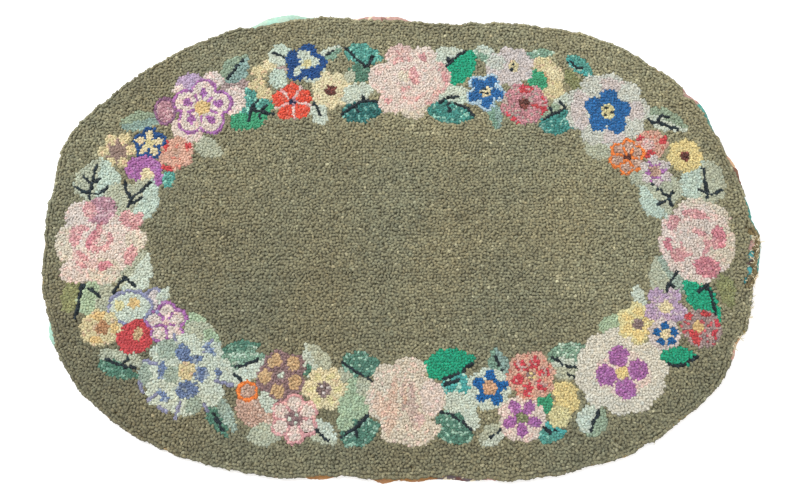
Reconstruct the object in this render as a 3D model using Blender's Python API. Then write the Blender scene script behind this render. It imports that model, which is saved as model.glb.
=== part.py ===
"""An oval hooked rug with a printed cotton binding turned under its edge.

The rug is one flat solid, as deep as its yarn loops stand. The binding is a flat ring that fills a rebate under
the rug's edge and peeps out past it in a few places. Sizes are in metres, +Z is up, the rug lies flat on z = 0 and
its long way runs along X. Bearings are in degrees round the rug's middle, anticlockwise from +X.
"""

import math
from typing import NamedTuple

import bmesh
import bpy
from mathutils import Vector

# The oval that the swells and nicks below are measured from.
OVAL_LENGTH = 0.903
OVAL_WIDTH = 0.610
SQUARENESS = 2.5  # the power in the oval's formula: 2 is an ellipse, and more is squarer

# The hooked rug.
PILE_TOP = 0.009
PILE_FULL_IN = 0.005  # how far in from the edge the pile reaches its full height
EDGE_BULGE = 0.005  # height of the edge's widest line
TURNED_IN = 0.003  # how far the folded burlap draws in under the edge

# The binding strip.
BINDING_WIDTH = 0.038
BINDING_THICKNESS = 0.001
HIDDEN_BY = 0.002  # how far the binding stays inside the rug's edge where it doesn't peep out
CLEARANCE = 0.0003

STEPS = 360  # points round each outline


class Swell(NamedTuple):
    """A stretch of edge that stands out from the oval, or lies in from it where out is negative."""

    bearing: float
    reach: float
    out: float


# Long, shallow swells and hollows left by uneven hooking.
SWELLS = [
    Swell(bearing=1, reach=10, out=0.0085),
    Swell(bearing=16, reach=17, out=-0.0095),
    Swell(bearing=46, reach=17, out=0.0055),
    Swell(bearing=79, reach=15, out=-0.0090),
    Swell(bearing=118, reach=20, out=0.0080),
    Swell(bearing=149, reach=15, out=-0.0065),
    Swell(bearing=163, reach=7, out=0.0055),
    Swell(bearing=212, reach=34, out=0.0035),
    Swell(bearing=258, reach=17, out=-0.0080),
    Swell(bearing=280, reach=12, out=-0.0075),
    Swell(bearing=304, reach=20, out=0.0040),
    Swell(bearing=317, reach=9, out=0.0050),
]

# Short nicks, where the edge is worn or a loop row has gone.
NICKS = [
    Swell(bearing=3, reach=2.5, out=-0.0035),
    Swell(bearing=27, reach=2.0, out=-0.0030),
    Swell(bearing=35, reach=2.2, out=-0.0025),
    Swell(bearing=69, reach=2.5, out=-0.0030),
    Swell(bearing=101, reach=2.0, out=-0.0020),
    Swell(bearing=139, reach=3.0, out=-0.0015),
    Swell(bearing=171, reach=2.5, out=-0.0020),
    Swell(bearing=194, reach=3.5, out=-0.0030),
    Swell(bearing=236, reach=2.2, out=-0.0020),
    Swell(bearing=319, reach=2.4, out=-0.0020),
    Swell(bearing=342, reach=2.6, out=-0.0045),
    Swell(bearing=352, reach=3.0, out=-0.0030),
]


class Ripple(NamedTuple):
    """An even scallop all the way round."""

    cycles: int
    height: float
    phase: float


RIPPLES = [
    Ripple(cycles=37, height=0.0007, phase=20),
    Ripple(cycles=59, height=0.0005, phase=140),
]

# Where the binding shows past the rug's edge, measured out from the edge.
PEEPS = [
    Swell(bearing=12, reach=7, out=0.0060),
    Swell(bearing=25, reach=9, out=0.0075),
    Swell(bearing=47, reach=4, out=0.0050),
    Swell(bearing=94, reach=14, out=0.0060),
    Swell(bearing=117, reach=10, out=0.0080),
    Swell(bearing=196, reach=4, out=0.0055),
    Swell(bearing=252, reach=5, out=0.0050),
    Swell(bearing=266, reach=4, out=0.0050),
    Swell(bearing=281, reach=13, out=0.0045),
    Swell(bearing=356, reach=9, out=0.0050),
]


def swell_at(rows, bearing):
    """Sum of the rows' bumps at one bearing. Each bump rises and falls as a raised cosine."""
    total = 0.0
    for row in rows:
        away = (bearing - row.bearing + 180.0) % 360.0 - 180.0
        if abs(away) < row.reach:
            total += row.out * 0.5 * (1.0 + math.cos(math.pi * away / row.reach))
    return total


def soft_edge(bearing):
    """Point on the rug's edge at a bearing, with its long swells but without ripples or nicks."""
    angle = math.radians(bearing)
    across = abs(math.cos(angle) / (OVAL_LENGTH / 2)) ** SQUARENESS
    along = abs(math.sin(angle) / (OVAL_WIDTH / 2)) ** SQUARENESS
    radius = (across + along) ** (-1.0 / SQUARENESS) + swell_at(SWELLS, bearing)
    return Vector((radius * math.cos(angle), radius * math.sin(angle), 0.0))


def outward(bearing):
    """Unit vector that points straight out of the edge at a bearing."""
    step = 0.5
    tangent = soft_edge(bearing + step) - soft_edge(bearing - step)
    return Vector((tangent.y, -tangent.x, 0.0)).normalized()


def worn(bearing):
    """How far ripples and nicks move the edge out at a bearing."""
    ripple = 0.0
    for row in RIPPLES:
        ripple += row.height * math.sin(math.radians(row.cycles * bearing + row.phase))
    return ripple + swell_at(NICKS, bearing)


def bearings():
    """The bearings of the points on every outline."""
    return [360.0 * i / STEPS for i in range(STEPS)]


def outline(out_at, height):
    """Closed ring of points, out_at(bearing) outside the soft edge, at one height."""
    ring = []
    for bearing in bearings():
        point = soft_edge(bearing) + outward(bearing) * out_at(bearing)
        ring.append(Vector((point.x, point.y, height)))
    return ring


def rug_rings():
    """The rug's outlines, from the face that it rests on, round the edge, to the top of the pile."""
    rebate_in = BINDING_WIDTH + CLEARANCE
    rebate_top = BINDING_THICKNESS + CLEARANCE
    return [
        outline(lambda b: -rebate_in, 0.0),
        outline(lambda b: -rebate_in, rebate_top),
        outline(lambda b: worn(b) - TURNED_IN, rebate_top),
        outline(lambda b: worn(b) - 0.2 * TURNED_IN, 0.5 * (rebate_top + EDGE_BULGE)),
        outline(worn, EDGE_BULGE),
        outline(lambda b: worn(b) - 0.25 * PILE_FULL_IN, PILE_TOP - 0.25 * (PILE_TOP - EDGE_BULGE)),
        outline(lambda b: worn(b) - PILE_FULL_IN, PILE_TOP),
    ]


def binding_rings():
    """The binding's four outlines, in order round its thin section."""

    def outer(bearing):
        return worn(bearing) - HIDDEN_BY + swell_at(PEEPS, bearing)

    return [
        outline(lambda b: -BINDING_WIDTH, 0.0),
        outline(lambda b: -BINDING_WIDTH, BINDING_THICKNESS),
        outline(outer, BINDING_THICKNESS),
        outline(outer, 0.0),
    ]


def middle(rings):
    """Middle of the box round some rings, seen from above."""
    xs = [point.x for ring in rings for point in ring]
    ys = [point.y for ring in rings for point in ring]
    return Vector(((min(xs) + max(xs)) / 2, (min(ys) + max(ys)) / 2, 0.0))


def cloth_material(name, colour, roughness):
    """A plain cloth finish."""
    material = bpy.data.materials.new(name)
    material.use_nodes = True
    shader = material.node_tree.nodes["Principled BSDF"]
    shader.inputs["Base Color"].default_value = (*colour, 1.0)
    shader.inputs["Roughness"].default_value = roughness
    shader.inputs["Metallic"].default_value = 0.0
    material.diffuse_color = (*colour, 1.0)
    return material


def lofted(name, rings, origin, closed_section, material):
    """One closed body through the rings. closed_section joins the last ring to the first. Otherwise both are capped."""
    bm = bmesh.new()
    loops = [[bm.verts.new(point - origin) for point in ring] for ring in rings]
    pairs = list(zip(loops, loops[1:]))
    if closed_section:
        pairs.append((loops[-1], loops[0]))
    else:
        bm.faces.new(loops[0])
        bm.faces.new(loops[-1])
    for low, high in pairs:
        for i in range(STEPS):
            after = (i + 1) % STEPS
            bm.faces.new((low[i], low[after], high[after], high[i]))
    bmesh.ops.recalc_face_normals(bm, faces=bm.faces)
    bmesh.ops.triangulate(bm, faces=[face for face in bm.faces if len(face.verts) > 4])
    mesh = bpy.data.meshes.new(name)
    bm.to_mesh(mesh)
    bm.free()
    mesh.materials.append(material)
    mesh.shade_smooth()
    mesh.set_sharp_from_angle(angle=math.radians(40))
    piece = bpy.data.objects.new(name, mesh)
    bpy.context.scene.collection.objects.link(piece)
    return piece


def clear_scene():
    """Removes whatever the file holds."""
    for old in list(bpy.data.objects):
        bpy.data.objects.remove(old)


def main():
    """Builds the rug and its binding round the middle of their common box."""
    clear_scene()
    rug = rug_rings()
    binding = binding_rings()
    origin = middle(rug + binding)
    olive = cloth_material("olive_wool", colour=(0.21, 0.19, 0.12), roughness=0.95)
    print_cotton = cloth_material("printed_cotton", colour=(0.36, 0.47, 0.40), roughness=0.9)
    lofted("hooked_rug", rug, origin, closed_section=False, material=olive)
    lofted("edge_binding", binding, origin, closed_section=True, material=print_cotton)


main()
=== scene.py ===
"""Looks of an oval hooked rug with a wreath of flowers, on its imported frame.

Every loop of yarn is modelled. The pattern is a chart of roses, blossoms, leaves and buds, drawn in
millimetres from the rug's middle, +X to the right and +Y away. A loop takes the yarn that the chart holds
under it. Veins and petal rims are hooked first, one loop wide, and the other loops fill in round them.
"""

from __future__ import annotations

import logging
import math
from dataclasses import dataclass, field, fields
from enum import Enum
from typing import Any, Iterable, Sequence

import bpy
import numpy as np
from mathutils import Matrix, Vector
from mathutils.kdtree import KDTree


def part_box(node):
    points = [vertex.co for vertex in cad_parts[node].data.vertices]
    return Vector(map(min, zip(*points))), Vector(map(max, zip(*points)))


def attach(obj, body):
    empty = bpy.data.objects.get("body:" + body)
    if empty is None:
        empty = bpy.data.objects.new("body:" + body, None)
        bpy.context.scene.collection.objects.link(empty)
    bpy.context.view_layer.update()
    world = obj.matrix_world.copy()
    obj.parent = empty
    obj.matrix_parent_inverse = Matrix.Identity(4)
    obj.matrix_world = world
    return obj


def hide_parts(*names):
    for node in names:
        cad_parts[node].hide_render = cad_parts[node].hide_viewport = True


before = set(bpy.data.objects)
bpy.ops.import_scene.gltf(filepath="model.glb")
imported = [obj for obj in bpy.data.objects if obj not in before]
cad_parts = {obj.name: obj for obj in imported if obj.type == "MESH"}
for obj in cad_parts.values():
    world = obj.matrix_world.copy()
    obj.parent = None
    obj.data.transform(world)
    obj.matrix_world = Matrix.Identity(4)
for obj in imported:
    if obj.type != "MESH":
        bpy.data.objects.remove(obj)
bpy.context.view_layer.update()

log = logging.getLogger("rug")

Array = np.ndarray
Piece = bpy.types.Object
Material = bpy.types.Material
Tree = bpy.types.NodeTree
Node = bpy.types.Node
Socket = bpy.types.NodeSocket

MM = 0.001
BINDING_WIDTH = 0.038
ROOT = "root"
SEED = 1931


# --- Yarns ---


@dataclass(frozen=True)
class Dye:
    """A yarn's colour.

    Attributes:
        shade: the colour as sRGB hex.
        mottle: how much single loops differ in brightness.
        fleck: a second colour that some loops have, or None.
        flecked: the share of loops in the second colour.
    """

    shade: str
    mottle: float = 0.07
    fleck: str | None = None
    flecked: float = 0.0


class Yarn(Enum):
    """Every yarn on the rug."""

    OLIVE = Dye("#888468", 0.09, "#a5a081", 0.02)
    DARK_OLIVE = Dye("#747056", 0.10)
    GREEN_OLIVE = Dye("#86895f", 0.10)
    OLIVE_EYE = Dye("#7f8462", 0.10)
    VEIN = Dye("#1c282e", 0.18)
    INK = Dye("#1b2947", 0.12)
    ROSE_PALE = Dye("#d2c4b8", 0.05, "#dfc3b9", 0.15)
    ROSE_CREAM = Dye("#cbc1ae", 0.05, "#d9c2b2", 0.15)
    ROSE_BLUSH = Dye("#d2b7ae", 0.06, "#d3a09b", 0.15)
    PEACH_ROSE = Dye("#cfb8a4", 0.07, "#c8a795", 0.20)
    ROSE_SHADE = Dye("#c2b0a3", 0.06, "#b39c93", 0.25)
    ROSE_PINK = Dye("#c99695", 0.08, "#dab2aa", 0.22)
    ROSE_DEEP = Dye("#c07e86", 0.09, "#cf9798", 0.20)
    MAUVE_PINK = Dye("#ac828c", 0.09, "#c8a9ad", 0.30)
    PETAL_WHITE = Dye("#cecabb", 0.04)
    GREY_WHITE = Dye("#c2c4b8", 0.06)
    LILAC_WHITE = Dye("#c7bdb7", 0.06)
    DUSTY_MAUVE = Dye("#a6918b", 0.07)
    LILAC = Dye("#b39cb4", 0.07, "#bfb0b4", 0.22)
    SOFT_LILAC = Dye("#b09bb2", 0.07)
    PURPLE = Dye("#a0679e", 0.09, "#ae7fac", 0.12)
    PLUM = Dye("#896280", 0.09)
    TAUPE = Dye("#8f7a70", 0.07)
    MAUVE_BROWN = Dye("#886e6e", 0.09)
    CREAM = Dye("#c9bd94", 0.06, "#cfb696", 0.15)
    PALE_CREAM = Dye("#d3c8a3", 0.05, "#d3bf9e", 0.10)
    BUTTER = Dye("#d6c48a", 0.06)
    GOLD = Dye("#d3b67f", 0.07)
    LEMON = Dye("#cec696", 0.06)
    TAN = Dye("#bfa27a", 0.07)
    PEACH = Dye("#cda27f", 0.07)
    CARAMEL = Dye("#b08560", 0.08)
    PINK_TAN = Dye("#b79784", 0.07, "#cbb2a0", 0.20)
    BROWN = Dye("#5d362e", 0.12, "#8a4d44", 0.3)
    DUSK_BROWN = Dye("#867370", 0.09)
    CORAL = Dye("#d65039", 0.07, "#d96f5a", 0.10)
    RED = Dye("#c0494b", 0.08)
    SALMON = Dye("#cba28e", 0.07, "#cb8472", 0.16)
    ORANGE = Dye("#e27e3a", 0.06)
    DUSTY_ROSE = Dye("#c0878b", 0.11, "#aa9a8f", 0.30)
    RED_TWEED = Dye("#bf464f", 0.10, "#b89890", 0.30)
    GREY_TWEED = Dye("#a08b86", 0.10, "#bd5d62", 0.18)
    NAVY = Dye("#1f4a80", 0.10)
    ROYAL = Dye("#28659c", 0.08)
    BRIGHT_BLUE = Dye("#195f9a", 0.09)
    SLATE_BLUE = Dye("#687a9a", 0.10, "#93a0ac", 0.22)
    PERIWINKLE = Dye("#898ba4", 0.08)
    PALE_BLUE = Dye("#abc3cf", 0.06)
    BLUE_MINT = Dye("#b7c5b6", 0.06)
    MINT_WHITE = Dye("#bfc7b7", 0.05)
    DUSTY_MINT = Dye("#9aa898", 0.07)
    MINT_GREY = Dye("#aeb19a", 0.06)
    MINT = Dye("#a3b596", 0.07)
    GREY_GREEN = Dye("#8f9f87", 0.08)
    MISTY_TEAL = Dye("#879f95", 0.08)
    SAGE = Dye("#7b9a86", 0.08)
    SPECKLED_SAGE = Dye("#7c9a84", 0.09, "#b5c8b4", 0.28)
    PINE = Dye("#527b67", 0.09, "#7a9c86", 0.12)
    SPECKLED_PINE = Dye("#527c6a", 0.10, "#8fb09c", 0.28)
    TEAL = Dye("#54968a", 0.09, "#8cc7b4", 0.15)
    TEAL_TWEED = Dye("#41867d", 0.12, "#84b6a8", 0.28)
    DEEP_TEAL = Dye("#2e6b68", 0.10, "#6ea69c", 0.20)
    AQUA = Dye("#4c9f99", 0.09, "#9cc3b4", 0.22)
    EMERALD = Dye("#1e9a75", 0.08)
    LEAF_GREEN = Dye("#3f966e", 0.08)


YARNS: list[Yarn] = list(Yarn)
NUMBER_OF: dict[Yarn, int] = {yarn: i for i, yarn in enumerate(YARNS)}
MOTTLE: Array = np.array([yarn.value.mottle for yarn in YARNS])


def linear(shade: str) -> Array:
    """Linear RGB of an sRGB hex colour."""
    values = np.array([int(shade[i : i + 2], 16) / 255.0 for i in (1, 3, 5)])
    return np.where(values <= 0.04045, values / 12.92, ((values + 0.055) / 1.055) ** 2.4)


# --- The chart: motifs in millimetres ---


@dataclass(frozen=True)
class Stroke:
    """A line hooked one loop wide.

    Attributes:
        points: its places in millimetres, as an N by 2 array.
        yarn: its yarn.
    """

    points: Array
    yarn: Yarn


def turned(u: object, v: object, angle: float) -> tuple[object, object]:
    """Places turned about the middle by an angle in radians."""
    c, s = math.cos(angle), math.sin(angle)
    return u * c - v * s, u * s + v * c


def option(default: object = None) -> Any:
    """A field that is given by its name only."""
    return field(default=default, kw_only=True)


@dataclass(frozen=True)
class Motif:
    """Something drawn on the chart at a place, turned by an angle in degrees."""

    x: float
    y: float
    turn: float = option(0.0)

    def local(self, x: Array, y: Array) -> tuple[Array, Array]:
        """The places seen from the motif, with its turn taken out."""
        return turned(x - self.x, y - self.y, -math.radians(self.turn))

    def placed(self, points: Iterable[tuple[float, float]]) -> Array:
        """Points of the motif's own frame, put on the chart."""
        u, v = turned(*np.array(points, float).T, math.radians(self.turn))
        return np.stack([self.x + u, self.y + v], axis=1)

    def paint(self, x: Array, y: Array) -> Array:
        """Yarn numbers at the places, -1 where the motif leaves the ground showing."""
        raise NotImplementedError

    def strokes(self) -> list[Stroke]:
        """The lines that are hooked first."""
        return []


@dataclass(frozen=True)
class Bud(Motif):
    """A plain oval patch, with an optional rim hooked round it."""

    rx: float
    ry: float
    yarn: Yarn
    rim: Yarn | None = option()

    def paint(self, x: Array, y: Array) -> Array:
        """See Motif.paint."""
        u, v = self.local(x, y)
        inside = (u / self.rx) ** 2 + (v / self.ry) ** 2 < 1.0
        return np.where(inside, NUMBER_OF[self.yarn], -1)

    def strokes(self) -> list[Stroke]:
        """The rim, if the bud has one."""
        if self.rim is None:
            return []
        turns = np.linspace(0.0, math.tau, 25)
        ring = [(self.rx * math.cos(t), self.ry * math.sin(t)) for t in turns]
        return [Stroke(self.placed(ring), self.rim)]


@dataclass(frozen=True)
class Leaf(Motif):
    """A pointed leaf along its turn, in two halves.

    Attributes:
        length: base to tip, in millimetres; the place x, y is its middle.
        width: its widest.
        left: yarn of the half to the left of the middle line.
        right: yarn of the other half, where it differs.
    """

    length: float
    width: float
    left: Yarn
    right: Yarn | None = None

    def paint(self, x: Array, y: Array) -> Array:
        """See Motif.paint."""
        u, v = self.local(x, y)
        along = u / self.length + 0.5
        share = np.clip(along, 0.0, 1.0)
        half = 0.5 * self.width * np.sin(math.pi * share**0.8) ** 0.75
        half = half * (1.0 + 0.05 * np.sin(share * 19.0 + self.x))
        inside = (along > 0.0) & (along < 1.0) & (np.abs(v) < half)
        yarn = np.where(v > 0.0, NUMBER_OF[self.left], NUMBER_OF[self.right or self.left])
        return np.where(inside, yarn, -1)


@dataclass(frozen=True)
class Blossom(Motif):
    """A small flower of round petals.

    Attributes:
        size: reach of the petals from the middle, in millimetres.
        petals: how many there are.
        petal: their yarn.
        eye: yarn of the middle.
        eye_size: radius of the middle.
        heart: yarn of a spot on each petal, or None.
        heart_size: size of that spot against the petal's.
        rim: yarn hooked round each petal, or None.
        ground: yarn between separate petals, or None where they touch.
        dots: yarn of the stamens in the eye, or None.
        full: how plump the petals are; under 1 they stand apart.
    """

    size: float
    petals: int
    petal: Yarn
    eye: Yarn
    eye_size: float
    heart: Yarn | None = option()
    heart_size: float = option(0.55)
    rim: Yarn | None = option()
    ground: Yarn | None = option()
    dots: Yarn | None = option()
    full: float = option(1.12)

    @property
    def sector(self) -> float:
        """Half the angle between two petals."""
        return math.pi / self.petals

    @property
    def ring(self) -> float:
        """How far out the petals' middles lie."""
        return self.size / (1.0 + self.full * math.sin(self.sector))

    def petal_frame(self, x: Array, y: Array) -> tuple[Array, ...]:
        """Distance from the middle, and places along and across the nearest petal."""
        u, v = self.local(x, y)
        r = np.hypot(u, v)
        angle = np.arctan2(v, u)
        off = (angle + self.sector) % (2.0 * self.sector) - self.sector
        return r, r * np.cos(off), r * np.sin(off)

    def paint(self, x: Array, y: Array) -> Array:
        """See Motif.paint."""
        r, along, across = self.petal_frame(x, y)
        reach = self.size - self.ring
        head = np.hypot(along - self.ring, across) < reach
        inside = head | (r < self.ring)
        yarn = np.where(head, NUMBER_OF[self.petal], NUMBER_OF[self.ground or self.petal])
        if self.heart:
            wide = self.heart_size * reach
            middle = self.ring - 0.15 * reach
            spot = ((along - middle) / (1.35 * wide)) ** 2 + (across / wide) ** 2 < 1.0
            yarn = np.where(spot, NUMBER_OF[self.heart], yarn)
        yarn = np.where(r < self.eye_size, NUMBER_OF[self.eye], yarn)
        return np.where(inside, yarn, -1)

    def strokes(self) -> list[Stroke]:
        """Rims round the petals, the seams between them, and the stamens."""
        lines: list[Stroke] = []
        reach = self.size - self.ring
        if self.rim:
            notch = self.ring * math.cos(self.sector)
            for i in range(self.petals):
                axis = 2.0 * self.sector * i
                arc = []
                for t in np.linspace(-2.2, 2.2, 21):
                    u = self.ring + reach * math.cos(t)
                    v = reach * math.sin(t)
                    if abs(math.atan2(v, u)) < self.sector:
                        arc.append(turned(u, v, axis))
                lines.append(Stroke(self.placed(arc), self.rim))
                seam = axis + self.sector
                inner = self.eye_size + 2.0
                if notch > inner + 4.0:
                    ends = [turned(d, 0.0, seam) for d in (inner, notch)]
                    lines.append(Stroke(self.placed(ends), self.rim))
        if self.dots:
            for i in range(3):
                spot = turned(0.5 * self.eye_size, 0.0, 2.1 * i + 0.4)
                lines.append(Stroke(self.placed([spot, spot]), self.dots))
        return lines


@dataclass(frozen=True)
class Ruffled(Motif):
    """A large flower with a frilled outline, which may hold a smaller blossom.

    Attributes:
        rx: reach along its turn, in millimetres.
        ry: reach across it.
        lobes: how many frills it has.
        yarn: its yarn.
        tint: yarn of every second frill's outer part, or None.
        notch: how deep the frills are cut.
    """

    rx: float
    ry: float
    lobes: int
    yarn: Yarn
    tint: Yarn | None = None
    notch: float = option(0.14)
    rim: Yarn | None = option()

    def edge(self, angle: Array | float) -> Array | float:
        """Share of the full reach at an angle in the flower's own frame."""
        frill = np.abs(np.cos(0.5 * self.lobes * angle + 0.3 * np.sin(angle + self.x)))
        return 1.0 - self.notch + self.notch * frill**0.7

    def paint(self, x: Array, y: Array) -> Array:
        """See Motif.paint."""
        u, v = self.local(x, y)
        r = np.hypot(u / self.rx, v / self.ry)
        angle = np.arctan2(v / self.ry, u / self.rx)
        yarn = np.full(r.shape, NUMBER_OF[self.yarn])
        if self.tint:
            frill = np.floor((angle * self.lobes / (math.tau)) + 0.5) % 2 == 0
            yarn = np.where(frill & (r > 0.5) & (r < 0.86), NUMBER_OF[self.tint], yarn)
        return np.where(r < self.edge(angle), yarn, -1)

    def strokes(self) -> list[Stroke]:
        """The rim, if the flower has one."""
        if self.rim is None:
            return []
        ring = []
        for t in np.linspace(0.0, math.tau, 12 * self.lobes + 1):
            share = float(self.edge(t))
            ring.append((share * self.rx * math.cos(t), share * self.ry * math.sin(t)))
        return [Stroke(self.placed(ring), self.rim)]


@dataclass(frozen=True)
class Fold(Motif):
    """A curved patch of shading on a rose, part of a ring round its place.

    Attributes:
        radius: the ring's radius, in millimetres.
        width: the patch's widest.
        start: angle where it begins, in degrees.
        end: angle where it ends.
        yarn: its yarn.
    """

    radius: float
    width: float
    start: float
    end: float
    yarn: Yarn

    def paint(self, x: Array, y: Array) -> Array:
        """See Motif.paint."""
        u, v = self.local(x, y)
        middle = math.radians(0.5 * (self.start + self.end))
        half = math.radians(0.5 * (self.end - self.start))
        angle = (np.arctan2(v, u) - middle + math.pi) % (math.tau) - math.pi
        taper = np.sqrt(np.clip(1.0 - (angle / half) ** 2, 0.0, 1.0))
        inside = np.abs(np.hypot(u, v) - self.radius) < 0.5 * self.width * taper
        return np.where(inside, NUMBER_OF[self.yarn], -1)


@dataclass(frozen=True)
class Vine:
    """Free veins and stamens; each line holds x and y of its places in turn."""

    lines: tuple[Sequence[float], ...]
    yarn: Yarn

    def strokes(self) -> list[Stroke]:
        """Its lines."""
        return [Stroke(np.array(line, float).reshape(-1, 2), self.yarn) for line in self.lines]


Drawn = Motif | Vine


def vine(*lines: Sequence[float], yarn: Yarn = Yarn.VEIN) -> Vine:
    """Some veins or stamens of one yarn."""
    return Vine(lines, yarn)


def buds(yarn: Yarn, *patches: tuple[float, ...]) -> list[Bud]:
    """Plain patches of one yarn; each has its x, y, rx, ry and, where it has one, its turn."""
    return [Bud(*patch[:4], yarn, turn=sum(patch[4:])) for patch in patches]


Y = Yarn

# The wreath from the left rose up to the top rose.
NORTH_WEST: list[Drawn] = [
    Bud(-222, 208, 22, 9, Y.DUSTY_MAUVE, turn=-12),
    Leaf(-221, 227, 48, 34, Y.GREY_GREEN, Y.MISTY_TEAL, turn=54),
    vine([-231, 213, -222, 227, -212, 240]),
    Bud(-176, 233, 9, 9, Y.PALE_CREAM, turn=20),
    *buds(Y.CREAM, (-190, 222, 12, 8, -15), (-192, 205, 12, 8, 15), (-181, 191, 10, 9)),
    Bud(-160, 226, 7, 5, Y.DUSTY_MAUVE),
    Bud(-164, 213, 12, 14, Y.BLUE_MINT),
    Leaf(-161, 245, 38, 30, Y.BLUE_MINT, Y.MINT_WHITE, turn=-24),
    vine([-171, 250, -164, 247, -157, 242]),
    Leaf(-96, 249, 36, 18, Y.MINT_WHITE, Y.SAGE, turn=32),
    vine([-104, 245, -94, 252]),
    Blossom(-129, 234, 29, 5, Y.NAVY, Y.MINT_WHITE, 8, full=1.2, turn=80),
    *buds(Y.MINT_WHITE, (-131, 247, 9, 8), (-123, 238, 13, 7, -15), (-139, 224, 4, 9, -20)),
    Fold(-119, 224, 15, 4, 220, 380, Y.MINT_WHITE),
    Bud(-127, 234, 7, 5, Y.LEMON, turn=30),
    Leaf(-110, 165, 40, 22, Y.MINT_WHITE, turn=112),
    vine([-116, 178, -112, 170, -108, 161]),
    Leaf(-197, 166, 60, 46, Y.TEAL, Y.LEAF_GREEN, turn=24),
    Bud(-205, 188, 13, 10, Y.TEAL),
    Bud(-213, 153, 14, 12, Y.LEAF_GREEN),
    vine([-201, 153, -200, 170, -191, 182], [-200, 171, -186, 167, -171, 163]),
    vine([-186, 168, -179, 175], [-187, 166, -187, 157]),
    Bud(-250, 211, 14, 12, Y.ROSE_PALE, turn=-30),
    Bud(-231, 198, 10, 9, Y.DUSTY_MAUVE),
    Bud(-222, 182, 16, 20, Y.ROSE_PALE),
    Bud(-283, 205, 19, 14, Y.SOFT_LILAC, turn=28),
    Bud(-295, 197, 8, 7, Y.ROSE_PALE),
    Leaf(-340, 154, 60, 27, Y.GREY_GREEN, Y.MISTY_TEAL, turn=12),
    Leaf(-252, 116, 40, 26, Y.MINT_GREY, turn=-30),
    Bud(-282, 140, 22, 15, Y.ROSE_PALE, turn=-25),
    Bud(-312, 167, 13, 18, Y.MAUVE_PINK, rim=Y.PLUM, turn=10),
    Blossom(
        -263, 172, 39, 5, Y.ROSE_PALE, Y.GOLD, 10, heart=Y.PURPLE, heart_size=0.32, rim=Y.PURPLE, turn=88
    ),
    Blossom(-145, 180, 27, 5, Y.CORAL, Y.MAUVE_PINK, 6, full=1.35, dots=Y.INK, turn=97),
    vine([-151, 187, -160, 196], [-153, 176, -165, 171], [-144, 171, -142, 157], yarn=Y.ROSE_BLUSH),
    vine([-136, 178, -122, 175], [-141, 188, -134, 200], yarn=Y.ROSE_BLUSH),
    Blossom(-94, 196, 27, 7, Y.PALE_CREAM, Y.BROWN, 8, full=1.3, turn=10),
    Blossom(-371, 112, 25, 6, Y.CREAM, Y.TAUPE, 8, ground=Y.TAUPE, full=0.86, turn=2),
    Blossom(-294, 109, 24, 6, Y.SALMON, Y.PINK_TAN, 6, full=1.3, turn=20),
    *buds(Y.RED, (-309, 121, 5, 7), (-304, 88, 8, 4, -20), (-278, 119, 4, 6, 30)),
    Blossom(-330, 122, 23, 5, Y.NAVY, Y.LEMON, 6, heart=Y.PALE_CREAM, heart_size=0.56, turn=88),
    Bud(-303, 75, 10, 10, Y.TEAL),
    Ruffled(-335, 87, 25, 19, 5, Y.PURPLE, notch=0.1, turn=-8),
    Bud(-318, 75, 9, 12, Y.PURPLE, turn=20),
    Bud(-330, 79, 8, 11, Y.PALE_CREAM, turn=15),
    Leaf(-393, 72, 62, 62, Y.MINT_GREY, Y.BLUE_MINT, turn=84),
    Bud(-368, 45, 17, 24, Y.MINT_GREY),
    vine([-402, 47, -400, 70, -396, 92], [-401, 56, -412, 57, -421, 63], [-403, 69, -412, 77]),
    vine([-400, 53, -389, 54, -380, 62], [-399, 69, -391, 73]),
    Leaf(-336, 48, 62, 52, Y.MINT_GREY, Y.BLUE_MINT, turn=62),
    vine([-352, 37, -348, 48, -335, 59, -325, 70], [-349, 47, -356, 58, -358, 70]),
    vine([-344, 42, -337, 48]),
]

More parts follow.
